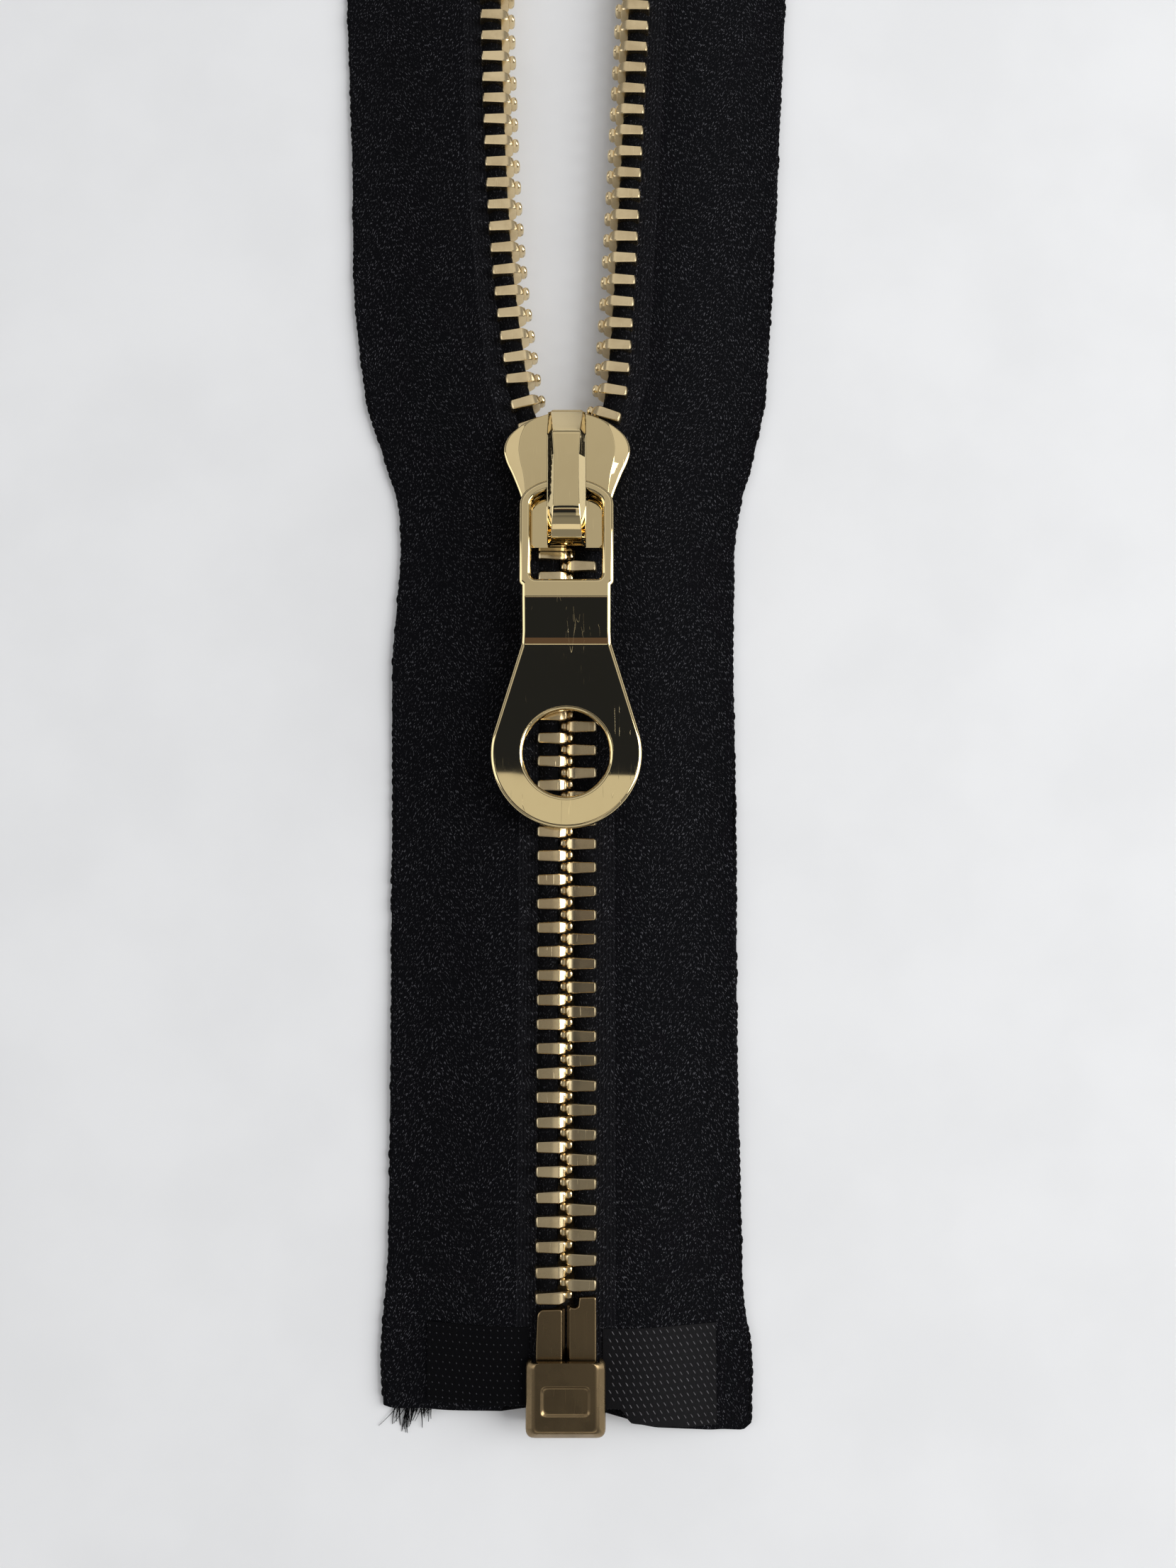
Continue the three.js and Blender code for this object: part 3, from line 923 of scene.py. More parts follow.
def weave_group() -> bpy.types.NodeTree:
    """Build the group of herringbone twill on (out, along) coordinates.

    Returns:
        A group whose outputs are a height, a mask of painted sheen on the thread ends and a mask of
        painted glints.
    """
    w = new_group(
        "Herringbone",
        "ShaderNodeTree",
        {"Position": "Vector", "Thread": "Float", "Column": "Float", "Warp Edge": "Float"},
        {"Height": "Float", "Sheen": "Float", "Glint": "Float"},
    )
    given = w.tree.nodes["in"].outputs
    at = w.separate(given["Position"])
    x, y = at["X"], at["Y"]
    column = w.math("FLOOR", w.math("DIVIDE", x, given["Column"]))
    sign = w.math("SUBTRACT", w.math("MULTIPLY", w.math("PINGPONG", column, 1.0), 2.0), 1.0)
    slant, dash_width, dash_length = 0.4, 0.3, 0.85
    across = w.math("ADD", x, w.math("MULTIPLY", w.math("MULTIPLY", y, sign), slant))
    dash = w.combine(
        X=w.math("DIVIDE", across, w.math("MULTIPLY", given["Thread"], dash_width)),
        Y=w.math("DIVIDE", y, w.math("MULTIPLY", given["Thread"], dash_length)),
    )
    ends = w.noise(dash, 1.0, 1.5, 0.6)
    u = w.math("DIVIDE", x, given["Thread"])
    rib = w.math("ABSOLUTE", w.math("SINE", w.math("MULTIPLY", u, math.pi * 1.2)))
    near = w.math("LESS_THAN", x, given["Warp Edge"])
    lines = w.math("MULTIPLY", w.math("MULTIPLY", rib, near), 0.06)
    height = w.math("ADD", ends, w.math("MULTIPLY", rib, 0.12))
    clumps = w.range(w.noise(given["Position"], 420.0, 3.0), 0.35, 0.68, (0.55, 1.0))
    out = w.tree.nodes["out"].inputs
    w.feed(out["Height"], height)
    # Painted sheen: thread ends and warp lines that catch the light, as a mask for a lighter base colour.
    bright = w.math("MULTIPLY", w.range(ends, 0.59, 0.68, (0.0, 1.0)), clumps)
    w.feed(out["Sheen"], w.math("ADD", bright, lines, clamp=True))
    # Painted glints: sparse bright specks for the base colour.
    w.feed(out["Glint"], w.range(w.noise(given["Position"], 8500.0, 0.0), 0.8, 0.86, (0.0, 1.0)))
    return w.tree


@dataclass
class ShaderKit:
    """The shader groups that the finishes share, built once."""

    scratches: bpy.types.NodeTree = field(default_factory=scratch_group)
    weave: bpy.types.NodeTree = field(default_factory=weave_group)


# ---------------------------------------------------------------------------
# Finishes
# ---------------------------------------------------------------------------
Colour = tuple[float, float, float, float]


def shell_material(name: str) -> tuple[bpy.types.Material, Wiring, bpy.types.Node]:
    """Start a material.

    Args:
        name: Name of the material.

    Returns:
        The material, its wiring and its Principled shader.
    """
    material = bpy.data.materials.new(name)
    material.use_nodes = True
    w = Wiring(material.node_tree)
    return material, w, material.node_tree.nodes["Principled BSDF"]


@dataclass(frozen=True)
class MetalFinish:
    """Polished or aged metal with smudges, scratches and slight waviness."""

    name: str
    colour: Colour
    tarnish: Colour
    roughness: float
    worn_roughness: float
    scratches: float
    smear: float
    wave: float

    def material(self, kit: ShaderKit) -> bpy.types.Material:
        """Build the material.

        Args:
            kit: The shared shader groups.

        Returns:
            The finished material.
        """
        material, w, shader = shell_material(self.name)
        place = w.add("ShaderNodeTexCoord").outputs["Object"]
        wear = w.group(kit.scratches, Position=place, Density=self.scratches, Smear=self.smear)
        mask, smudge = wear.outputs["Mask"], wear.outputs["Smudge"]
        colour = w.mix(smudge, self.colour, self.tarnish)
        bright = tuple(min(1.0, c * 1.15) for c in self.colour[:3]) + (1.0,)
        w.feed(shader.inputs["Base Color"], w.mix(mask, colour, bright))
        shader.inputs["Metallic"].default_value = 1.0
        span = self.worn_roughness - self.roughness
        most = w.math("MAXIMUM", mask, smudge)
        rough = w.math("ADD", w.math("MULTIPLY", most, span), self.roughness)
        w.feed(shader.inputs["Roughness"], rough)
        swell = w.math("MULTIPLY", w.noise(place, 170.0, 1.0), self.wave)
        dent = w.math("SUBTRACT", swell, w.math("MULTIPLY", mask, 0.04))
        w.feed(shader.inputs["Normal"], w.bump(dent, 0.0001))
        return material


@dataclass(frozen=True)
class ClothFinish:
    """Black woven polyester, on the piece's own weave coordinates, with painted sheen and painted glints
    on its threads.
    """

    name: str
    shadow: Colour
    # thread is the colour of the painted sheen on the thread ends, glint that of the painted glints.
    thread: Colour
    glint: Colour
    thread_width: float
    column: float
    warp_edge: float
    relief: float

    def material(self, kit: ShaderKit) -> bpy.types.Material:
        """Build the material.

        Args:
            kit: The shared shader groups.

        Returns:
            The finished material.
        """
        material, w, shader = shell_material(self.name)
        place = w.add("ShaderNodeAttribute", attribute_name=WEAVE_ATTRIBUTE).outputs["Vector"]
        weave = w.group(
            kit.weave,
            Position=place,
            Thread=self.thread_width * MM,
            Column=self.column * MM,
            Warp_Edge=self.warp_edge * MM,
        )
        # Painted highlights: the sheen and glint masks lighten the base colour where threads would catch
        # the light.
        base = w.mix(weave.outputs["Sheen"], self.shadow, self.thread)
        w.feed(shader.inputs["Base Color"], w.mix(weave.outputs["Glint"], base, self.glint))
        shine = w.math("MULTIPLY", weave.outputs["Sheen"], -0.3)
        w.feed(shader.inputs["Roughness"], w.math("ADD", shine, 0.85))
        shader.inputs["Specular IOR Level"].default_value = 0.08
        w.feed(shader.inputs["Normal"], w.bump(weave.outputs["Height"], self.relief * MM))
        return material


@dataclass(frozen=True)
class FilmFinish:
    """Black reinforcing film with a soft shine, and painted sheen from the weave below it in its colour.
    """

    name: str
    colour: Colour
    roughness: float
    gloss: float

    def material(self, kit: ShaderKit) -> bpy.types.Material:
        """Build the material.

        Args:
            kit: The shared shader groups.

        Returns:
            The finished material.
        """
        material, w, shader = shell_material(self.name)
        place = w.add("ShaderNodeTexCoord").outputs["Object"]
        weave = w.group(kit.weave, Position=place, Thread=0.45 * MM, Column=4 * MM, Warp_Edge=-1.0)
        # Painted sheen: the weave's thread ends lighten the base colour in place of their highlights.
        light = tuple(c * 2.2 for c in self.colour[:3]) + (1.0,)
        w.feed(shader.inputs["Base Color"], w.mix(weave.outputs["Sheen"], self.colour, light))
        shader.inputs["Specular IOR Level"].default_value = self.gloss
        worn = w.math("MULTIPLY", w.noise(place, 500.0, 3.0), 0.25)
        w.feed(shader.inputs["Roughness"], w.math("ADD", worn, self.roughness))
        w.feed(shader.inputs["Normal"], w.bump(weave.outputs["Height"], 0.00003, 0.5))
        return material


Finish = MetalFinish | ClothFinish | FilmFinish


@dataclass
class Wardrobe:
    """Every finish of the zipper, built once."""

    kit: ShaderKit = field(default_factory=ShaderKit)
    made: dict[str, bpy.types.Material] = field(default_factory=dict)

    def get(self, finish: Finish) -> bpy.types.Material:
        """Fetch a finish's material, made the first time it is asked for.

        Args:
            finish: The finish.

        Returns:
            Its material.
        """
        if finish.name not in self.made:
            self.made[finish.name] = finish.material(self.kit)
        return self.made[finish.name]


MIRROR_GOLD = MetalFinish(
    "mirror light gold", (0.82, 0.66, 0.36, 1), (0.74, 0.58, 0.3, 1), 0.02, 0.07, 0.5, 0.25, 0.1
)
CHAIN_GOLD = MetalFinish(
    "chain light gold", (0.84, 0.68, 0.41, 1), (0.48, 0.35, 0.18, 1), 0.2, 0.38, 0.8, 0.5, 0.3
)
AGED_BRASS = MetalFinish(
    "darkened brass", (0.29, 0.208, 0.11, 1), (0.17, 0.122, 0.064, 1), 0.22, 0.4, 0.4, 0.7, 0.2
)
SPRING_STEEL = MetalFinish(
    "spring steel", (0.58, 0.56, 0.52, 1), (0.4, 0.37, 0.33, 1), 0.25, 0.4, 0.4, 0.5, 0.1
)
# In both cloths the second colour is painted sheen on the threads and the third is painted glints.
TAPE_CLOTH = ClothFinish(
    "black herringbone tape",
    (0.0017, 0.0018, 0.0028, 1),
    (0.08, 0.08, 0.09, 1),
    (0.13, 0.13, 0.14, 1),
    0.4,
    4.1,
    4.6,
    0.1,
)
CORD_CLOTH = ClothFinish(
    "black braided cord",
    (0.0015, 0.0015, 0.002, 1),
    (0.03, 0.03, 0.034, 1),
    (0.08, 0.08, 0.09, 1),
    0.4,
    1.0,
    0.0,
    0.12,
)
FILMS = {
    Side.LEFT: FilmFinish("black film", (0.0008, 0.0008, 0.0014, 1), 0.5, 0.08),
    Side.RIGHT: FilmFinish("worn black film", (0.0022, 0.002, 0.0028, 1), 0.45, 0.15),
}
# The raised marks' lighter colours are painted highlights.
PAINTED_HIGHLIGHT_DASHES = {
    Side.LEFT: FilmFinish("raised dots", (0.022, 0.022, 0.026, 1), 0.35, 0.5),
    Side.RIGHT: FilmFinish("raised dashes", (0.085, 0.082, 0.088, 1), 0.3, 0.6),
}


def dress(obj: bpy.types.Object, material: bpy.types.Material) -> None:
    """Give a piece its one material.

    Args:
        obj: The piece.
        material: Its finish.
    """
    obj.data.materials.clear()
    obj.data.materials.append(material)


# ---------------------------------------------------------------------------
# One half: tape, cord, teeth, film, stop
# ---------------------------------------------------------------------------
@dataclass
class Trees:
    """The Geometry Nodes trees that the halves share, built once."""

    row: bpy.types.NodeTree = field(default_factory=row_tree)
    path: bpy.types.NodeTree = field(default_factory=path_tree)
    lattice: bpy.types.NodeTree = field(default_factory=lattice_tree)


@dataclass
class HalfZipper:
    """One tape with its cord, teeth, films, top stop and loose threads."""

    side: Side
    wardrobe: Wardrobe
    trees: Trees
    tape_inner: float = 1.75
    cord_x: float = 1.75
    cord_radii: Plan = (0.99, 0.8)
    tooth_leg: float = 2.87
    tooth_half_height: float = 1.25
    tooth_turn: float = 0.02
    selvedge_pitch: float = 0.8
    selvedge_radius: float = 0.2
    film_lift: float = 0.09
    tape_columns: int = 44
    edge_round: float = 0.25
    thinnest: float = 0.03
    rolls: ClassVar[dict[Side, float]] = {Side.LEFT: 3.0, Side.RIGHT: -1.2}
    pieces: list[bpy.types.Object] = field(default_factory=list)

    @property
    def sign(self) -> int:
        """Sign of this half's X."""
        return self.side.value

    @property
    def foot(self) -> float:
        """Station of the tape's lower end."""
        return station_of(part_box(f"{self.side.word}_tape_foot")[0].y)

    def span(self, stretch: Stretch) -> Plan:
        """Stations of a stretch of the tape."""
        ends = {
            Stretch.LOWER: (self.foot, LAYOUT.seam),
            Stretch.UPPER: (LAYOUT.seam, LAYOUT.length),
        }
        return ends[stretch]

    def bend(self, obj: bpy.types.Object, stretch: Stretch) -> None:
        """Fix a piece's place into its mesh and add it to this half's pieces.

        Args:
            obj: The finished piece.
            stretch: Which length of the half it belongs to; not used.
        """
        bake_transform(obj)
        self.pieces.append(obj)

    def place(self, out: float, station: float, z: float) -> Point:
        """Place a point on this half.

        Args:
            out: Distance out from the row's centre.
            station: Distance from the lower end.
            z: Height over the table.

        Returns:
            The point, as (x, station, z).
        """
        return (self.sign * (out + LAYOUT.row_offset(self.side, station)), station, z)

    def stations(self, stretch: Stretch) -> list[float]:
        """List where a stretch's cross-sections go, closer together where it bends.

        Args:
            stretch: Which length of the half.

        Returns:
            The stations, with both ends.
        """
        low, high = self.span(stretch)
        places = [low]
        while places[-1] < high - 1e-6:
            bending = -1 < places[-1] - LAYOUT.bend_start < LAYOUT.bend_run + 1
            step = 0.5 if bending or stretch is Stretch.LOWER else 1.0
            places.append(min(high, places[-1] + step))
        return places

    def tape(self, stretch: Stretch) -> bpy.types.Object:
        """Woven tape of one stretch, sinking to the table towards its outer edge.

        Args:
            stretch: Which length to make.

        Returns:
            The tape, with its weave coordinates.
        """
        shape = SHAPES[self.side]
        even = [i / self.tape_columns for i in range(1, self.tape_columns)]
        shares = [0.0, 0.008, *even, 0.992, 1.0]
        rng = random.Random(11 + self.sign)
        phases = [rng.uniform(0, math.tau) for _ in range(2)]

        def ripple(out: float, station: float) -> float:
            """Slight unevenness of the cloth, strongest at the free edge."""
            long_wave = 0.10 * math.sin(station / 7.3 + phases[0])
            short_wave = 0.06 * math.sin(station / 2.9 + phases[1])
            return LAYOUT.rise_share(out) * (LAYOUT.edge_rise + (long_wave + short_wave))

        rings = []
        for station in self.stations(stretch):
            upper, lower = [], []
            outer = knot_value(shape.edge, station)
            near_foot = max(0.0, 1 - (station - self.foot) / 6)
            for share in shares:
                out = self.tape_inner + (outer - self.tape_inner) * share
                edge = min((out - self.tape_inner) / self.edge_round, (outer - out) / self.edge_round, 1.0)
                half = LAYOUT.tape_half_thick * math.sqrt(max(0.0, 1 - (1 - edge) ** 2))
                half = max(half, self.thinnest)
                z = LAYOUT.drape_z(out) + ripple(out, station)
                along = station + (knot_value(shape.foot, out) - self.foot) * near_foot
                upper.append(self.place(out, along, z + half))
                lower.append(self.place(out, along, max(0.01, z - half)))
            rings.append(upper + lower[::-1])
        obj = loft(f"{self.side.word}_woven_tape_{stretch.value}", rings, 50)
        self.add_weave(obj)
        dress(obj, self.wardrobe.get(TAPE_CLOTH))
        return obj

    def add_weave(self, obj: bpy.types.Object) -> None:
        """Store (out, along) on every corner, so that the weave follows the cloth.

        Args:
            obj: The cloth piece, changed in place.
        """
        layer = obj.data.attributes.new(WEAVE_ATTRIBUTE, "FLOAT_VECTOR", "POINT")
        flat: list[float] = []
        for vertex in obj.data.vertices:
            out = abs(vertex.co.x) - LAYOUT.row_offset(self.side, station_of(vertex.co.y)) * MM
            flat.extend((out, vertex.co.y, vertex.co.z))
        layer.data.foreach_set("vector", flat)

    def cord(self, stretch: Stretch) -> bpy.types.Object:
        """Braided cord that the teeth are clamped on, swelling between the teeth.

        Args:
            stretch: Which length to make.

        Returns:
            The cord, with its weave coordinates.
        """
        low, high = self.span(stretch)
        cord_foot, ring_gap, corners = 2.2, 0.28, 12
        low = max(low, cord_foot)
        first = LAYOUT.first_tooth(self.side)
        steps = int((high - low) / ring_gap)
        rings = []
        for i in range(steps + 1):
            station = low + (high - low) * i / steps
            phase = math.cos(math.tau * (station - first) / LAYOUT.pitch)
            swell = 1 - 0.05 * phase
            ring = []
            for corner in range(corners):
                turn = math.tau * corner / corners
                braid = 0.03 * math.sin(3 * turn + self.sign * station * 4.2)
                wide, tall = (radius * swell + braid for radius in self.cord_radii)
                out = self.cord_x + wide * math.cos(turn)
                ring.append(self.place(out, station, LAYOUT.mid_z + tall * math.sin(turn)))
            rings.append(ring)
        obj = loft(f"{self.side.word}_cord_{stretch.value}", rings, 60)
        self.add_weave(obj)
        dress(obj, self.wardrobe.get(CORD_CLOTH))
        return obj

    def tooth_unit(self) -> bpy.types.Object:
        """One tooth: clamped legs, a sloped shoulder and a rounded head.

        Returns:
            The tooth about the origin, with its length along X.
        """
        tall, leg = self.tooth_half_height, self.tooth_leg
        sections = [
            (leg, 0.34, tall - 0.26, 0.1, 0.0),
            (leg - 0.06, 0.42, tall - 0.12, 0.11, 0.0),
            (leg - 0.2, 0.46, tall, 0.08, 0.0),
            (1.4, 0.51, tall, 0.07, 0.0),
            (0.8, 0.54, tall, 0.07, 0.0),
            (0.62, 0.54, tall - 0.03, 0.08, 0.0),
            (0.36, 0.51, tall - 0.12, 0.1, 0.01),
            (0.06, 0.45, tall - 0.31, 0.12, 0.02),
            (-0.03, 0.41, tall - 0.44, 0.13, 0.03),
            (-0.08, 0.37, tall - 0.62, 0.14, 0.05),
            (-0.29, 0.41, tall - 0.55, 0.17, 0.08),
            (-0.48, 0.38, tall - 0.6, 0.18, 0.09),
            (-0.6, 0.28, tall - 0.74, 0.13, 0.09),
            (-0.66, 0.13, tall - 0.95, 0.05, 0.09),
        ]
        rings = []
        for out, y, z, cut_off, shift in sections:
            corners = [(y, z - cut_off), (y - cut_off, z), (-y + cut_off, z), (-y, z - cut_off)]
            corners += [(-a, -b) for a, b in corners]
            rings.append([(self.sign * out, a + shift - LOWER_END, b) for a, b in corners])
        unit = loft("tooth_unit", rings, 40)
        roll = math.radians(self.rolls[self.side])
        unit.data.transform(Matrix.Rotation(roll, 4, "Y"))
        unit.data.transform(Matrix.Translation((0, 0, LAYOUT.mid_z * MM)))
        return unit

    def along_row(
        self, name: str, unit: bpy.types.Object, first: float, count: int
    ) -> bpy.types.Object:
        """Repeat the tooth along this half's row.

        Args:
            name: Name of the piece.
            unit: The tooth, about the origin.
            first: Station of the first tooth.
            count: How many teeth.

        Returns:
            The row as one plain mesh.
        """
        return grow(
            name,
            self.trees.row,
            {
                "Unit": unit,
                "Finish": self.wardrobe.get(CHAIN_GOLD),
                "Count": count,
                "First": (first + LOWER_END) * MM,
                "Pitch": LAYOUT.pitch * MM,
                "Side": float(self.sign),
                "Spread": LAYOUT.spread * MM,
                "Bend Start": (LAYOUT.bend_start + LOWER_END) * MM,
                "Bend Run": LAYOUT.bend_run * MM,
                "Flare Start": (LAYOUT.flare_start + LOWER_END) * MM,
                "Lean": SHAPES[self.side].lean,
                "Reach": SHAPES[self.side].reach * MM,
                "Ease": SHAPES[self.side].ease * MM,
                "Jitter": self.tooth_turn,
            },
        )

    def teeth_below_seam(self) -> int:
        """How many teeth lie below the seam between the two stretches."""
        return math.floor((LAYOUT.seam - LAYOUT.first_tooth(self.side)) / LAYOUT.pitch) + 1

    def teeth(self) -> None:
        """Make both stretches of the row of teeth."""
        unit = self.tooth_unit()
        below = self.teeth_below_seam()
        counts = {Stretch.LOWER: (0, below), Stretch.UPPER: (below, LAYOUT.teeth - below)}
        for stretch, (start, count) in counts.items():
            name = f"{self.side.word}_metal_teeth_{stretch.value}"
            first = LAYOUT.first_tooth(self.side) + start * LAYOUT.pitch
            row = self.along_row(name, unit, first, count)
            self.replace(row, stretch, "teeth")
            self.bend(row, stretch)
        bpy.data.objects.remove(unit)

    def replace(self, obj: bpy.types.Object, stretch: Stretch, kind: str) -> None:
        """Hide the frame's nodes that a stretch stands for.

        Args:
            obj: The finished piece; not used.
            stretch: Which length of the half it is.
            kind: What it is made of in the frame, tape or teeth.
        """
        parts = {Stretch.LOWER: ("foot", "run"), Stretch.UPPER: ("bend", "upper")}[stretch]
        names = [f"{self.side.word}_{kind}_{part}" for part in parts]
        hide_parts(*[name for name in names if name in frame["nodes"]])

    def selvedge(self, stretch: Stretch) -> bpy.types.Object:
        """Row of small thread loops along the tape's outer edge.

        Args:
            stretch: Which length to make.

        Returns:
            The row, with its weave coordinates.
        """
        low, high = self.span(stretch)
        shape = SHAPES[self.side]
        step, inset, lift, uneven = 0.5, 0.12, 0.16, 0.035
        low = max(low, knot_value(shape.foot, LAYOUT.tape_outer)) + 0.6
        rng = random.Random(3 + self.sign)
        points = []
        for i in range(int((high - 0.4 - low) / step) + 1):
            station = low + step * i
            out = knot_value(shape.edge, station) - inset + rng.gauss(0, uneven)
            points.append(self.place(out, station, LAYOUT.drape_z(out) + lift))
        edges = [[i, i + 1] for i in range(len(points) - 1)]
        path = mesh_object("edge_path", points, [], edges=edges)
        half = self.selvedge_pitch * 0.55
        turns = [math.tau * corner / 6 for corner in range(6)]
        rings = []
        for share, size in ((-1, 0.25), (-0.6, 0.8), (0, 1.0), (0.6, 0.8), (1, 0.25)):
            radius = self.selvedge_radius * size
            rings.append(
                [(radius * math.cos(a), radius * math.sin(a) - LOWER_END, share * half) for a in turns]
            )
        unit = loft("loop_unit", rings, 70)
        row = grow(
            f"{self.side.word}_selvedge_{stretch.value}",
            self.trees.path,
            {
                "Unit": unit,
                "Path": path,
                "Finish": self.wardrobe.get(CORD_CLOTH),
                "Spacing": self.selvedge_pitch * MM,
                "Least": 0.7,
                "Most": 1.25,
            },
        )
        bpy.data.objects.remove(unit)
        bpy.data.objects.remove(path)
        self.add_weave(row)
        return row

    def film(self, front: bool) -> None:
        """Film on one face of the tape's foot, with raised dashes on the front one.

        Args:
            front: Whether this is the face with the pull.
        """
        face = "front" if front else "back"
        node = f"{self.side.word}_film_{face}"
        low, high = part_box(node)
        start, end = station_of(low.y), station_of(high.y)
        inner, outer = sorted((abs(low.x) / MM, abs(high.x) / MM))
        way = 1 if front else -1
        steps, sunk, past_cut, rim, rim_fall = 40, 0.06, 0.08, 0.05, 0.03

        def level(out: float, lift: float) -> float:
            """Height at a distance out and a lift from the tape's face."""
            rise = LAYOUT.edge_rise * LAYOUT.rise_share(out)
            return LAYOUT.drape_z(out) + rise + way * (LAYOUT.tape_half_thick + lift)

        rings = []
        for i in range(steps + 1):
            out = inner + (outer - inner) * i / steps
            near, far = level(out, -sunk), level(out, self.film_lift)
            begin = max(start, knot_value(SHAPES[self.side].foot, out) + past_cut)
            ring = [(begin, near), (begin, far - way * rim_fall), (begin + rim, far)]
            ring += [(end - rim, far), (end, far - way * rim_fall), (end, near)]
            rings.append([(self.sign * out, s, max(0.0, z)) for s, z in ring])
        sheet = loft(f"{self.side.word}_{face}_film_sheet", rings, 30)
        dress(sheet, self.wardrobe.get(FILMS[self.side]))
        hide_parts(node)
        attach(sheet, f"{self.side.word}_half")
        self.pieces.append(sheet)
        if front:
            self.film_lattice((inner, outer), (start, end))

    def film_lattice(self, outs: Plan, stations: Plan) -> None:
        """Raised dashes in diagonals over the front film.

        Args:
            outs: Inner and outer edge of the film, as distances out.
            stations: Its two ends.
        """
        cell, inner, margin, top_share = 0.56, 4.2, 0.35, 0.6
        long = self.side is Side.RIGHT
        length, wide, tall = (0.19, 0.06, 0.06) if long else (0.08, 0.07, 0.05)
        slant = math.radians(-55)
        rings = []
        for share, size in ((-1, 0.4), (-0.5, 1.0), (0.5, 1.0), (1, 0.4)):
            centre = Vector((math.cos(slant), math.sin(slant))) * share * length
            across = Vector((-math.sin(slant), math.cos(slant))) * wide * size
            left, right = centre + across, centre - across
            top = LAYOUT.tape_half_thick + self.film_lift + tall * size
            base = top - 0.2
            upper_right = right * top_share + centre * (1 - top_share)
            upper_left = left * top_share + centre * (1 - top_share)
            corners = ((left, base), (right, base), (upper_right, top), (upper_left, top))
            rings.append([(corner.x, corner.y - LOWER_END, z) for corner, z in corners])
        unit = loft("dash_unit", rings, 50)
        width = outs[1] - inner - margin
        length_along = stations[1] - stations[0] - 2 * margin
        low = LAYOUT.tape_half_thick + LAYOUT.table_gap + LAYOUT.edge_rise
        lattice = grow(
            f"{self.side.word}_film_dashes",
            self.trees.lattice,
            {
                "Dash": unit,
                "Finish": self.wardrobe.get(PAINTED_HIGHLIGHT_DASHES[self.side]),
                "Width": width * MM,
                "Length": length_along * MM,
                "Cell": cell * MM,
                "Centre X": self.sign * (inner + outs[1] - margin) / 2 * MM,
                "Centre Y": ((stations[0] + stations[1]) / 2 + LOWER_END) * MM,
                "Flat": LAYOUT.drape_start * MM,
                "Outer": LAYOUT.tape_outer * MM,
                "High": LAYOUT.mid_z * MM,
                "Low": low * MM,
            },
        )
        bpy.data.objects.remove(unit)
        self.trim_below_foot(lattice)
        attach(lattice, f"{self.side.word}_half")
        self.pieces.append(lattice)

    def trim_below_foot(self, obj: bpy.types.Object) -> None:
        """Take away the whole dashes that would hang past the tape's cut end.

        Args:
            obj: The lattice of dashes, changed in place.
        """
        foot, margin = SHAPES[self.side].foot, 0.2
        with editing(obj.data) as edit:
            stack = [
                vertex
                for vertex in edit.verts
                if station_of(vertex.co.y) < knot_value(foot, abs(vertex.co.x) / MM) + margin
            ]
            doomed = set(stack)
            while stack:
                for edge in stack.pop().link_edges:
                    for vertex in edge.verts:
                        if vertex not in doomed:
                            doomed.add(vertex)
                            stack.append(vertex)
            bmesh.ops.delete(edit, geom=list(doomed), context="VERTS")

    def top_stop(self) -> None:
        """Crimped metal stop above the last tooth."""
        node = f"{self.side.word}_top_stop"
        low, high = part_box(node)
        start, end = station_of(low.y), station_of(high.y)
        inner, outer = sorted((abs(low.x) / MM, abs(high.x) / MM))
        rings = []
        for share, size in ((0, 0.8), (0.08, 0.96), (0.2, 1), (0.8, 1), (0.92, 0.96), (1, 0.8)):
            station = start + (end - start) * share
            middle, half = (inner + outer) / 2, (outer - inner) / 2 * size
            tall = self.tooth_half_height * size
            ring = rounded_corners(rectangle(half, tall), 0.35, 3)
            rings.append([(self.sign * (middle + a), station, LAYOUT.mid_z + b) for a, b in ring])
        stop = loft(f"{self.side.word}_crimped_stop", rings)
        dress(stop, self.wardrobe.get(CHAIN_GOLD))
        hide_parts(node)
        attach(stop, f"{self.side.word}_half")
        self.pieces.append(stop)

    def frayed_end(self) -> None:
        """Loose threads at the outer corner of the tape's cut end."""
        rng = random.Random(23)
        points: list[Point] = []
        faces: list[list[int]] = []
        threads, steps, sides = 40, 6, 3
        tufts = (12.5, 13.4, 14.2, 15.0, 15.6)
        for _ in range(threads):
            out = rng.choice(tufts) + rng.gauss(0, 0.35)
            length = rng.uniform(0.6, 2.3) * (0.6 + (out - 11) / 8)
            lean = rng.gauss(0.25, 0.3)
            curl = rng.uniform(-0.6, 0.6)
            radius = rng.uniform(0.06, 0.1)
            base_z = LAYOUT.drape_z(out) + rng.uniform(-0.15, 0.2)
            first = len(points)
            for i in range(steps + 1):
                t = i / steps
                x = out + lean * length * t + curl * t * t * 0.6
                station = knot_value(SHAPES[self.side].foot, out) + 0.4 - (length + 0.4) * t
                z = max(0.06, base_z * (1 - 0.75 * t))
                thin = radius * (1 - 0.6 * t)
                for corner in range(sides):
                    turn = math.tau * corner / sides
                    across = self.sign * (x + thin * math.cos(turn))
                    points.append((across, station, z + thin * math.sin(turn)))
            for i in range(steps):
                for corner in range(sides):
                    a = first + i * sides + corner
                    b = first + i * sides + (corner + 1) % sides
                    faces.append([a, b, b + sides, a + sides])
            last = first + steps * sides
            faces.append([first, first + 2, first + 1])
            faces.append([last, last + 1, last + 2])
        fray = mesh_object(f"{self.side.word}_frayed_threads", points, faces, 80)
        self.add_weave(fray)
        dress(fray, self.wardrobe.get(CORD_CLOTH))
        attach(fray, f"{self.side.word}_half")
        self.pieces.append(fray)

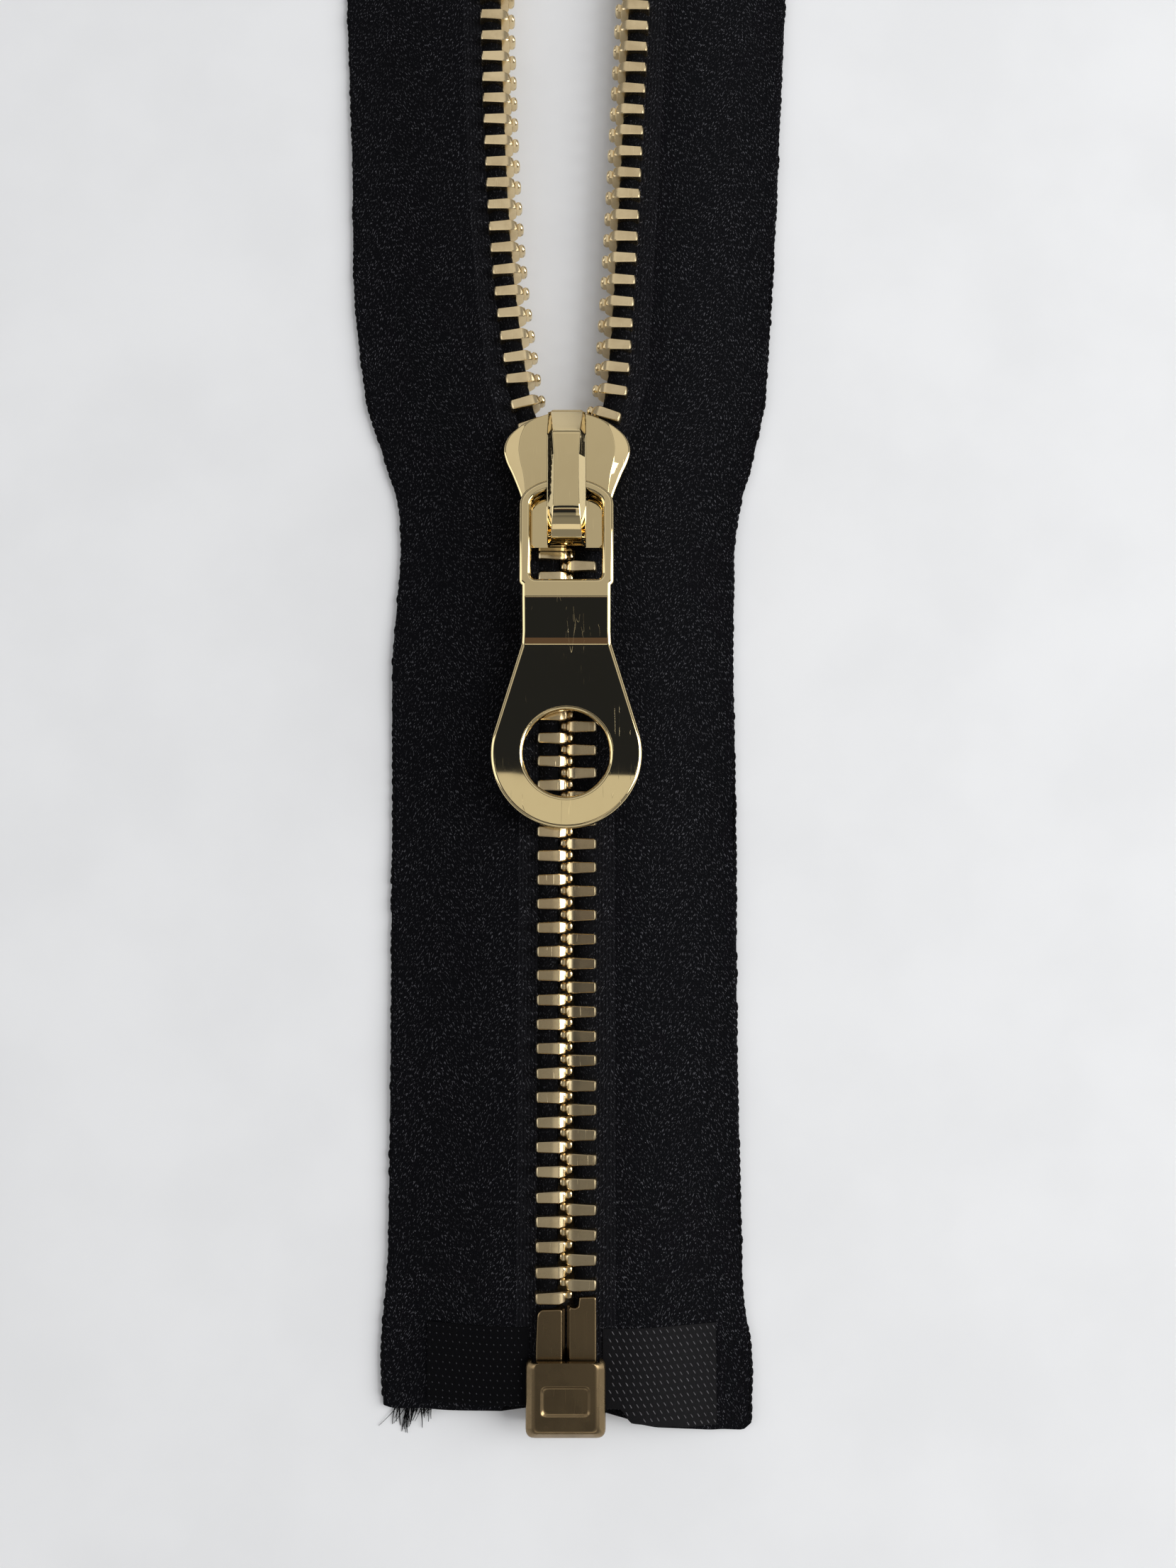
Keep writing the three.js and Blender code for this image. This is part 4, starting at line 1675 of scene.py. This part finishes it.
    def build(self) -> list[bpy.types.Object]:
        """Make and dress the whole half.

        Returns:
            Its pieces.
        """
        for stretch in Stretch:
            tape = self.tape(stretch)
            self.replace(tape, stretch, "tape")
            self.bend(tape, stretch)
            self.bend(self.cord(stretch), stretch)
            self.bend(self.selvedge(stretch), stretch)
        self.teeth()
        for front in (True, False):
            self.film(front)
        self.top_stop()
        if self.side is Side.LEFT:
            self.frayed_end()
        return self.pieces


# ---------------------------------------------------------------------------
# Box and pins
# ---------------------------------------------------------------------------
@dataclass
class BottomEnd:
    """Retainer box with its cavity, and the two pins."""

    wardrobe: Wardrobe
    end_wall: float = 1.2
    cavity_half: float = 3.1
    core_half: float = 2.7
    slot: Plan = (1.7, 3.2)
    cavity: Plan = (1.0, 3.85)
    pin_gap: float = 0.3
    ledge_gap: float = 0.06
    ledge_top: float = 2.2
    pin_outer: float = 2.8
    pin_rim: float = 0.16
    pieces: list[bpy.types.Object] = field(default_factory=list)

    def finish(self, obj: bpy.types.Object, body: str, node: str) -> None:
        """Dress a piece, put it on its body and hide the node that it stands for.

        Args:
            obj: The finished piece.
            body: The body that it moves with.
            node: The frame's node.
        """
        dress(obj, self.wardrobe.get(AGED_BRASS))
        crisp_faces(obj)
        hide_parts(node)
        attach(obj, body)
        self.pieces.append(obj)

    def box(self) -> None:
        """Pressed box: sloped rims, sunk panel, open upper end and side slots."""
        low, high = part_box("retainer_box")
        width, floor, top = high.x / MM, low.z / MM, high.z / MM
        start, end = station_of(low.y), station_of(high.y)
        middle, long = (start + end) / 2, (end - start) / 2
        levels = [
            (floor, 0.35, 0.45),
            (floor + 0.08, 0.12, 0.55),
            (floor + 0.3, 0.0, 0.6),
            (top - 1.0, 0.0, 0.6),
            (top - 0.8, 0.04, 0.6),
            (top - 0.62, 0.14, 0.58),
            (top - 0.2, 0.55, 0.45),
            (top - 0.07, 0.72, 0.4),
            (top - 0.02, 0.84, 0.35),
            (top, 1.0, 0.3),
        ]
        rings = []
        for z, inset, radius in levels:
            a, low_edge, high_edge = width - inset, -long + inset, long - min(0.12, inset)
            corners = [(-a, low_edge), (a, low_edge), (a, high_edge), (-a, high_edge)]
            rings.append([(x, middle + y, z) for x, y in rounded_corners(corners, radius + 0.2)])
        panel = (
            (0.0, 2.3, 1.36),
            (0.03, 2.22, 1.29),
            (0.1, 2.13, 1.21),
            (0.17, 2.04, 1.13),
            (0.2, 1.92, 1.02),
        )
        for sink, a, b in panel:
            ring = rounded_corners(rectangle(a, b), 0.5)
            rings.append([(x, middle + y, top - sink) for x, y in ring])
        shell = loft("pressed_box", rings, 28)
        cutters = [
            block(
                (-self.cavity_half, self.end_wall, self.cavity[0]),
                (self.cavity_half, end + 1, self.cavity[1]),
            )
        ]
        for sign in (-1, 1):
            edges = sorted((sign * self.core_half, sign * (width + 1)))
            cutters.append(block((edges[0], -1, self.slot[0]), (edges[1], end + 1, self.slot[1])))
        self.finish(cut(shell, cutters), "right_half", "retainer_box")

    def add_ledge(
        self, pin: bpy.types.Object, sign: int, foot: float, top: float, span: Plan
    ) -> None:
        """Give a pin the low ledge that nearly meets the other pin's.

        Args:
            pin: The pin, changed in place.
            sign: Sign of its X.
            foot: Station of its lower end.
            top: Station where the ledge ends.
            span: Lowest and highest Z of the pin.
        """
        near, far = sign * self.ledge_gap, sign * (self.pin_gap + 0.5)
        corners = [(near, foot + 0.1), (far, foot + 0.1), (far, top), (near, top)]
        ledge = plate("ledge", [rounded_corners(corners, 0.1, 2)], (span[0], self.ledge_top), 0.1, 2)
        with editing(pin.data) as joined:
            joined.from_mesh(ledge.data)
        bpy.data.objects.remove(ledge)

    def insertion_pin(self) -> None:
        """Pin of the left tape, with a slanted outer corner."""
        low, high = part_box("insertion_pin")
        foot, top = station_of(low.y), station_of(high.y)
        near, far = -self.pin_gap, -self.pin_outer
        outline = [
            (far, foot),
            (near, foot),
            (near, top - 0.15),
            (near - 0.12, top),
            (far + 0.55, top - 0.05),
            (far + 0.2, top - 0.45),
            (far + 0.08, top - 3.2),
        ]
        span = (low.z / MM, high.z / MM)
        pin = plate("left_pin", [rounded_corners(outline, 0.25, 3)], span, self.pin_rim)
        self.add_ledge(pin, -1, foot, top - 0.4, span)
        self.finish(pin, "left_half", "insertion_pin")

    def retainer_pin(self) -> None:
        """Pin of the right tape, longer, with a small nib beside the first tooth."""
        low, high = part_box("retainer_pin")
        foot, top = station_of(low.y), station_of(high.y)
        near, far = self.pin_gap, self.pin_outer
        outline = [
            (near, foot),
            (far, foot),
            (far, top - 0.12),
            (far - 0.12, top),
            (near + 0.95, top - 0.03),
            (near + 0.85, top - 0.95),
            (near + 0.45, top - 1.0),
            (near + 0.1, top - 0.9),
            (near, top - 1.1),
        ]
        span = (low.z / MM, high.z / MM)
        pin = plate("right_pin", [rounded_corners(outline, 0.2, 3)], span, self.pin_rim)
        self.add_ledge(pin, 1, foot, top - 1.2, span)
        self.finish(pin, "right_half", "retainer_pin")

    def build(self) -> list[bpy.types.Object]:
        """Make the box and both pins.

        Returns:
            The three pieces.
        """
        self.box()
        self.insertion_pin()
        self.retainer_pin()
        return self.pieces


# ---------------------------------------------------------------------------
# Slider
# ---------------------------------------------------------------------------
@dataclass
class Slider:
    """Slider casting, crown, pawl and pull, measured from the slider's rear edge.

    Attributes:
        edge: Half width of the plates, as (distance from the rear, half width) knots.
        rim: Width of their sloped rims, in the same way.
        bends: Bends of the pull, as (distance from the pivot, share, softness).
    """

    wardrobe: Wardrobe
    rear: float = LAYOUT.slider_rear
    length: float = 13.4
    plate_low: Plan = (0.0, 0.9)
    plate_high: Plan = (4.0, 5.0)
    flange_tops: Plan = (1.9, 3.0)
    channel_room: float = 3.2
    rim_radius: float = 0.3
    rim_slope: float = 0.26
    post_span: Plan = (0.5, 4.5)
    lip_span: Plan = (4.1, 5.12)
    crown_base: float = 5.02
    crown_half: float = 1.85
    hollow_half: float = 1.35
    through_half: float = 2.2
    pivot: float = 5.9
    pivot_z: float = 5.95
    pull_half_thick: float = 0.6
    pull_rim: float = 0.38
    strap_fall: float = 0.93
    bends: tuple[Point, ...] = ((11.1, 1.0, 0.12), (14.75, -0.45, 0.12), (15.5, -0.55, 0.16))
    edge: tuple[Plan, ...] = (
        (0.0, 3.45),
        (0.6, 3.9),
        (2.6, 3.98),
        (4.9, 4.42),
        (7.3, 5.3),
        (8.7, 5.92),
        (10.0, 6.17),
        (11.2, 5.72),
        (12.1, 4.7),
        (12.8, 3.5),
        (13.25, 2.2),
        (13.4, 1.7),
    )
    rim: tuple[Plan, ...] = (
        (0.0, 0.35),
        (2.6, 0.4),
        (4.9, 0.55),
        (7.3, 1.15),
        (9.0, 1.5),
        (10.4, 1.55),
        (11.4, 1.25),
        (12.3, 0.6),
        (13.4, 0.3),
    )
    pieces: list[bpy.types.Object] = field(default_factory=list)

    def finish(self, obj: bpy.types.Object, body: str = "slider") -> None:
        """Dress a gold piece and put it on its body."""
        dress(obj, self.wardrobe.get(MIRROR_GOLD))
        crisp_faces(obj)
        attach(obj, body)
        self.pieces.append(obj)

    def plate_section(self, t: float, upper: bool) -> list[Point]:
        """Closed cross-section of one plate with its turned rims.

        Args:
            t: Distance from the rear edge.
            upper: Whether it is the plate under the crown.

        Returns:
            The ring of points, in order round the section.
        """
        half = spline_value(self.edge, t)
        rim = min(spline_value(self.rim, t), half * 0.6)
        channel = self.channel_room + LAYOUT.step(self.rear + t)
        wall = min(channel, half - 0.02)
        flange = smooth((half - channel) / 0.5)
        inside, face = self.plate_high
        lip = inside + (self.flange_tops[1] - inside) * flange
        right: list[Plan] = [(0.0, face), (half * 0.35, face), (half - rim, face)]
        turn_over = min(self.rim_radius, rim * 0.6)
        fall = (rim - turn_over) * self.rim_slope
        right += [(half - rim + 0.05, face - 0.008), (half - rim + 0.12, face - 0.04)]
        right += [(half - turn_over, face - fall)]
        for i in range(1, 6):
            turn = math.pi / 2 * i / 5
            x = half - turn_over * (1 - math.sin(turn))
            right.append((x, face - fall - self.rim_radius * (1 - math.cos(turn))))
        drop = fall + self.rim_radius
        edge_low = min(face - drop - 0.03, lip + 0.12)
        right += [(half, edge_low), (half - 0.06, lip)]
        right += [(wall + 0.04, lip), (wall, lip + 0.05 * flange), (wall, inside)]
        ring = [*right, (0.0, inside), *[(-x, z) for x, z in reversed(right[1:])]]
        if not upper:
            top, base = self.plate_high[1], self.plate_low[0]
            ring = [(x, base + top - z) for x, z in ring]
        return [(x, self.rear + t, z) for x, z in ring]

    def casting(self) -> None:
        """Both plates, the post between them and the lip at the front."""
        steps = 54
        places = [self.length * (1 - math.cos(math.pi * i / steps)) / 2 for i in range(steps + 1)]
        for upper in (True, False):
            rings = [self.plate_section(t, upper) for t in places]
            name = "slider_upper_plate" if upper else "slider_lower_plate"
            obj = loft(name, rings, 32)
            if upper:
                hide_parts("slider_body")
            self.finish(obj)
        tip, front = 10.4, self.length + 0.4
        wedge = [(0.0, tip), (0.32, tip + 0.6), (0.66, tip + 1.6), (1.1, tip + 2.8), (1.0, front)]
        wedge += [(-x, y) for x, y in reversed(wedge[1:])]
        outline = [(x, self.rear + y) for x, y in rounded_corners(wedge, 0.15, 2)]
        self.finish(plate("slider_post", [outline], self.post_span, 0.05, 1))
        lip = rounded_corners([(-1.75, 12.6), (1.75, 12.6), (1.6, 13.75), (-1.6, 13.75)], 0.35, 4)
        tongue = [(x, self.rear + y) for x, y in lip]
        self.finish(plate("slider_front_lip", [tongue], self.lip_span, 0.22))

    def crown_section(self, t: float) -> list[Point]:
        """Cross-section of the solid crown before it is hollowed.

        Args:
            t: Distance from the rear edge.

        Returns:
            The ring of points, in order round the section.
        """
        tops = (
            (0.02, 5.7),
            (0.15, 6.3),
            (0.5, 6.95),
            (1.1, 7.6),
            (2.0, 8.15),
            (2.7, 8.36),
            (3.3, 8.4),
            (9.9, 8.4),
            (10.3, 8.32),
            (13.1, 5.65),
            (13.45, 5.25),
        )
        flats = ((0.0, 1.5), (1.5, 1.4), (4.0, 1.24), (8.0, 1.2), (9.9, 1.34), (13.4, 1.6))
        top, flat = spline_value(tops, t), spline_value(flats, t)
        base, half = self.crown_base, self.crown_half
        drop = min(0.85, (top - base) * 0.7)
        right = [
            (flat * 0.5, top + 0.01),
            (flat - 0.12, top),
            (flat, top - 0.06),
            (half - 0.1, top - drop),
            (half, top - drop - 0.06),
            (half, base + 0.04),
            (half - 0.04, base),
        ]
        ring = [(0.0, top + 0.015), *right, *[(-x, z) for x, z in reversed(right)]]
        return [(x, self.rear + t, z) for x, z in ring]

    def crown(self) -> None:
        """Arched cover: hollow below, open at both sides for the pull's bar."""
        marks = [0.02, 0.06, 0.12, 0.25, 0.45, 0.75, 1.1, 1.5, 2.0, 2.4, 2.7, 3.0, 3.3, 4.4, 6.0, 8.0]
        marks += [9.3, 9.75, 9.95, 10.1, 10.3, 10.6, 11.5, 12.5, 13.0, 13.2, 13.35, 13.45]
        solid = loft("crown_cover", [self.crown_section(t) for t in marks], 30)
        hollow = [(0.9, 4.8), (12.0, 4.8), (10.3, 7.35), (9.9, 7.85)]
        hollow += [(2.9, 7.85), (1.6, 7.1), (0.9, 6.2)]
        window = [(3.7, 4.8), (8.2, 4.8), *arc((5.95, 6.0), (2.25, 1.1), 0, 180, 12)]
        rear = [(-0.5, 4.8), (0.95, 4.8), (0.95, 5.35), (-0.5, 5.35)]
        widths = (self.hollow_half, self.through_half, self.through_half)
        cutters = []
        for profile, width in zip((hollow, window, rear), widths):
            shifted = [(self.rear + t, z) for t, z in profile]
            cutters.append(crosswise("cutter", shifted, width))
        cover = cut(solid, cutters)
        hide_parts("slider_crown")
        self.finish(cover)

    def pull_height(self, along: float) -> float:
        """Height of the pull's middle against its pivot.

        Args:
            along: Distance from the pivot towards the ring.

        Returns:
            The height, in millimetres.
        """

        def ramp(t: float, soft: float) -> float:
            """Slope that sets in over a short curve."""
            if t <= -soft:
                return 0.0
            return t if t >= soft else (t + soft) ** 2 / (4 * soft)

        drop = sum(share * (self.bends[-1][0] - place) for place, share, _ in self.bends)
        path = sum(share * ramp(along - place, soft) for place, share, soft in self.bends)
        return -self.strap_fall * path / drop

    def pull(self) -> None:
        """Loop, creased strap and ring, bent from one plate."""
        half, bar, hole_radius = 4.5, 1.13, 4.1
        loop_top, arch = 0.56, 2.6
        foot, strap, crease, centre, radius = -9.3, 4.22, -15.4, -25.8, 7.15
        shoulder = loop_top - arch
        reach = crease - centre
        hyp = math.hypot(strap, reach)
        tangent = math.degrees(math.atan2(reach, strap) - math.acos(radius / hyp))
        outline = arc((0, shoulder), (half, arch), 0, 180, 32)
        outline += [(-half, foot - 0.15), (-half + 0.06, foot - 0.42), (-strap, foot - 0.62)]
        outline += [(-strap, crease + 1.2), (-strap - 0.06, crease + 0.1)]
        outline += arc((0, centre), (radius, radius), 180 - tangent, 360 + tangent, 64)
        outline += [(strap + 0.06, crease + 0.1), (strap, crease + 1.2)]
        outline += [(strap, foot - 0.62), (half - 0.06, foot - 0.42), (half, foot - 0.15)]
        inner = half - bar
        corners = [(-inner, shoulder), (-inner, foot), (inner, foot), (inner, shoulder)]
        window = rounded_corners(corners, 0.55)
        window = [p for p in window if p[1] < shoulder - 0.5]
        window += arc((0, shoulder), (inner, arch - bar), 0, 180, 24)
        hole = arc((0, centre), (hole_radius, hole_radius), 0, 352.5, 47)
        pivot = self.rear + self.pivot
        outlines = [[(x, pivot + y) for x, y in line] for line in (outline, window, hole)]
        span = (self.pivot_z - self.pull_half_thick, self.pivot_z + self.pull_half_thick)
        tab = plate("pull_casting", outlines, span, self.pull_rim, 4)
        cuts = [place + soft * share / 3 for place, _, soft in self.bends for share in range(-3, 4)]
        with editing(tab.data) as edit:
            for along in cuts:
                everything = [*edit.verts, *edit.edges, *edit.faces]
                where = to_world((0, pivot - along, 0))
                bmesh.ops.bisect_plane(edit, geom=everything, plane_co=where, plane_no=(0, 1, 0))
            for vertex in edit.verts:
                vertex.co.z += self.pull_height(pivot - station_of(vertex.co.y)) * MM
        tidy_mesh(tab, 30)
        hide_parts("pull_tab")
        self.finish(tab, "pull")

    def build(self) -> list[bpy.types.Object]:
        """Make the whole slider and dress the frame's pawl.

        Returns:
            The slider's pieces.
        """
        self.casting()
        self.crown()
        self.pull()
        pawl = frame["nodes"]["lock_pawl"]
        pawl.data.materials.clear()
        pawl.data.materials.append(self.wardrobe.get(SPRING_STEEL))
        self.pieces.append(pawl)
        return self.pieces


# ---------------------------------------------------------------------------
# Stage
# ---------------------------------------------------------------------------
@dataclass(frozen=True)
class SoftLight:
    """A soft rectangular light over the table, in millimetres."""

    name: str
    place: Point
    size: Plan
    radiance: float
    colour: tuple[float, float, float] = (1.0, 1.0, 1.0)
    aimed: bool = True

    def switch_on(self, target: Point) -> None:
        """Add the light to the scene.

        Args:
            target: The point that it faces if it is aimed, as (x, station, z).
        """
        data = bpy.data.lights.new(self.name, "AREA")
        data.shape = "RECTANGLE"
        data.size, data.size_y = self.size[0] * MM, self.size[1] * MM
        data.energy = self.radiance * math.pi * data.size * data.size_y
        data.color = self.colour
        light = new_object(self.name, data)
        where, aim = to_world(self.place), to_world(target)
        light.location = where
        if self.aimed:
            light.rotation_euler = (aim - where).to_track_quat("-Z", "Y").to_euler()


@dataclass
class Studio:
    """Camera, pale table and soft lights."""

    height: float = 113.0
    nadir: float = 49.0
    camera_x: float = 2.04
    tilt: float = 5.43
    focal_share: float = 1661 / 2212
    sensor: float = 36.0

    def camera(self) -> None:
        """Camera above the chain, tipped slightly towards the open end."""
        data = bpy.data.cameras.new("camera")
        data.sensor_fit = "VERTICAL"
        data.sensor_height = self.sensor
        data.lens = self.sensor * self.focal_share
        data.clip_start = 0.005
        camera = new_object("camera", data)
        camera.location = to_world((self.camera_x, self.nadir, LAYOUT.mid_z + self.height))
        camera.rotation_euler = (math.radians(self.tilt), 0, 0)
        bpy.context.scene.camera = camera

    def table(self) -> None:
        """Plain pale table under the tapes."""
        reach = 900.0
        corners = [(-reach, -reach, 0), (reach, -reach, 0), (reach, reach, 0), (-reach, reach, 0)]
        table = mesh_object("table", corners, [[0, 1, 2, 3]])
        material, w, shader = shell_material("pale paper")
        place = w.add("ShaderNodeTexCoord").outputs["Object"]
        tone = w.range(w.noise(place, 60.0, 4.0), 0.3, 0.7, (0.0, 1.0))
        w.feed(shader.inputs["Base Color"], w.mix(tone, (0.86, 0.87, 0.88, 1), (0.9, 0.91, 0.92, 1)))
        shader.inputs["Roughness"].default_value = 0.9
        table.data.materials.append(material)

    def lights(self) -> None:
        """Soft lights and cards that the gold mirrors, with the space overhead left dark."""
        world = bpy.data.worlds.new("studio")
        world.use_nodes = True
        w = Wiring(world.node_tree)
        way = w.separate(w.add("ShaderNodeTexCoord").outputs["Generated"])
        rise = w.range(way["Z"], 0.8, 0.97, (1.0, 0.0))
        around = w.mix(rise, (0.018, 0.021, 0.03, 1), (0.26, 0.26, 0.27, 1))
        w.feed(world.node_tree.nodes["Background"].inputs["Color"], around)
        bpy.context.scene.world = world
        bpy.context.scene.view_settings.view_transform = "Standard"
        middle = (0.0, 80.0, 0.0)
        for light in (
            SoftLight("back softbox", (0, 462, 600), (900, 516), 0.46, (1.0, 0.98, 0.95), False),
            SoftLight("near strip", (0, 105, 600), (260, 34), 0.66, (1.0, 0.98, 0.92), False),
            SoftLight("brown card", (0, 62, 601), (260, 44), 0.1, (1.0, 0.6, 0.4), False),
            SoftLight("low card", (0, -145, 602), (500, 120), 0.18, (1.0, 0.98, 0.95), False),
            SoftLight("side card", (125, -50, 603), (130, 300), 0.45, (1.0, 0.96, 0.88), False),
            SoftLight("right softbox", (640, 90, 400), (460, 800), 5.4),
            SoftLight("left softbox", (-720, 90, 300), (460, 800), 1.3),
            SoftLight("front strip", (0, -480, 380), (700, 200), 0.6, (1.0, 0.95, 0.88)),
        ):
            light.switch_on(middle)

    def build(self) -> None:
        """Set the whole stage."""
        self.camera()
        self.table()
        self.lights()


def main() -> None:
    """Build every sub-assembly in order and report its pieces."""
    logging.basicConfig(level=logging.INFO, format="%(name)s: %(message)s")
    Studio().build()
    wardrobe = Wardrobe()
    trees = Trees()
    assemblies = [
        HalfZipper(Side.LEFT, wardrobe, trees),
        HalfZipper(Side.RIGHT, wardrobe, trees),
        BottomEnd(wardrobe),
        Slider(wardrobe),
    ]
    for assembly in assemblies:
        for piece in assembly.build():
            faces = len(piece.data.polygons)
            log.info("%s: %s, %d faces", type(assembly).__name__, piece.name, faces)


if __name__ == "__main__":
    main()
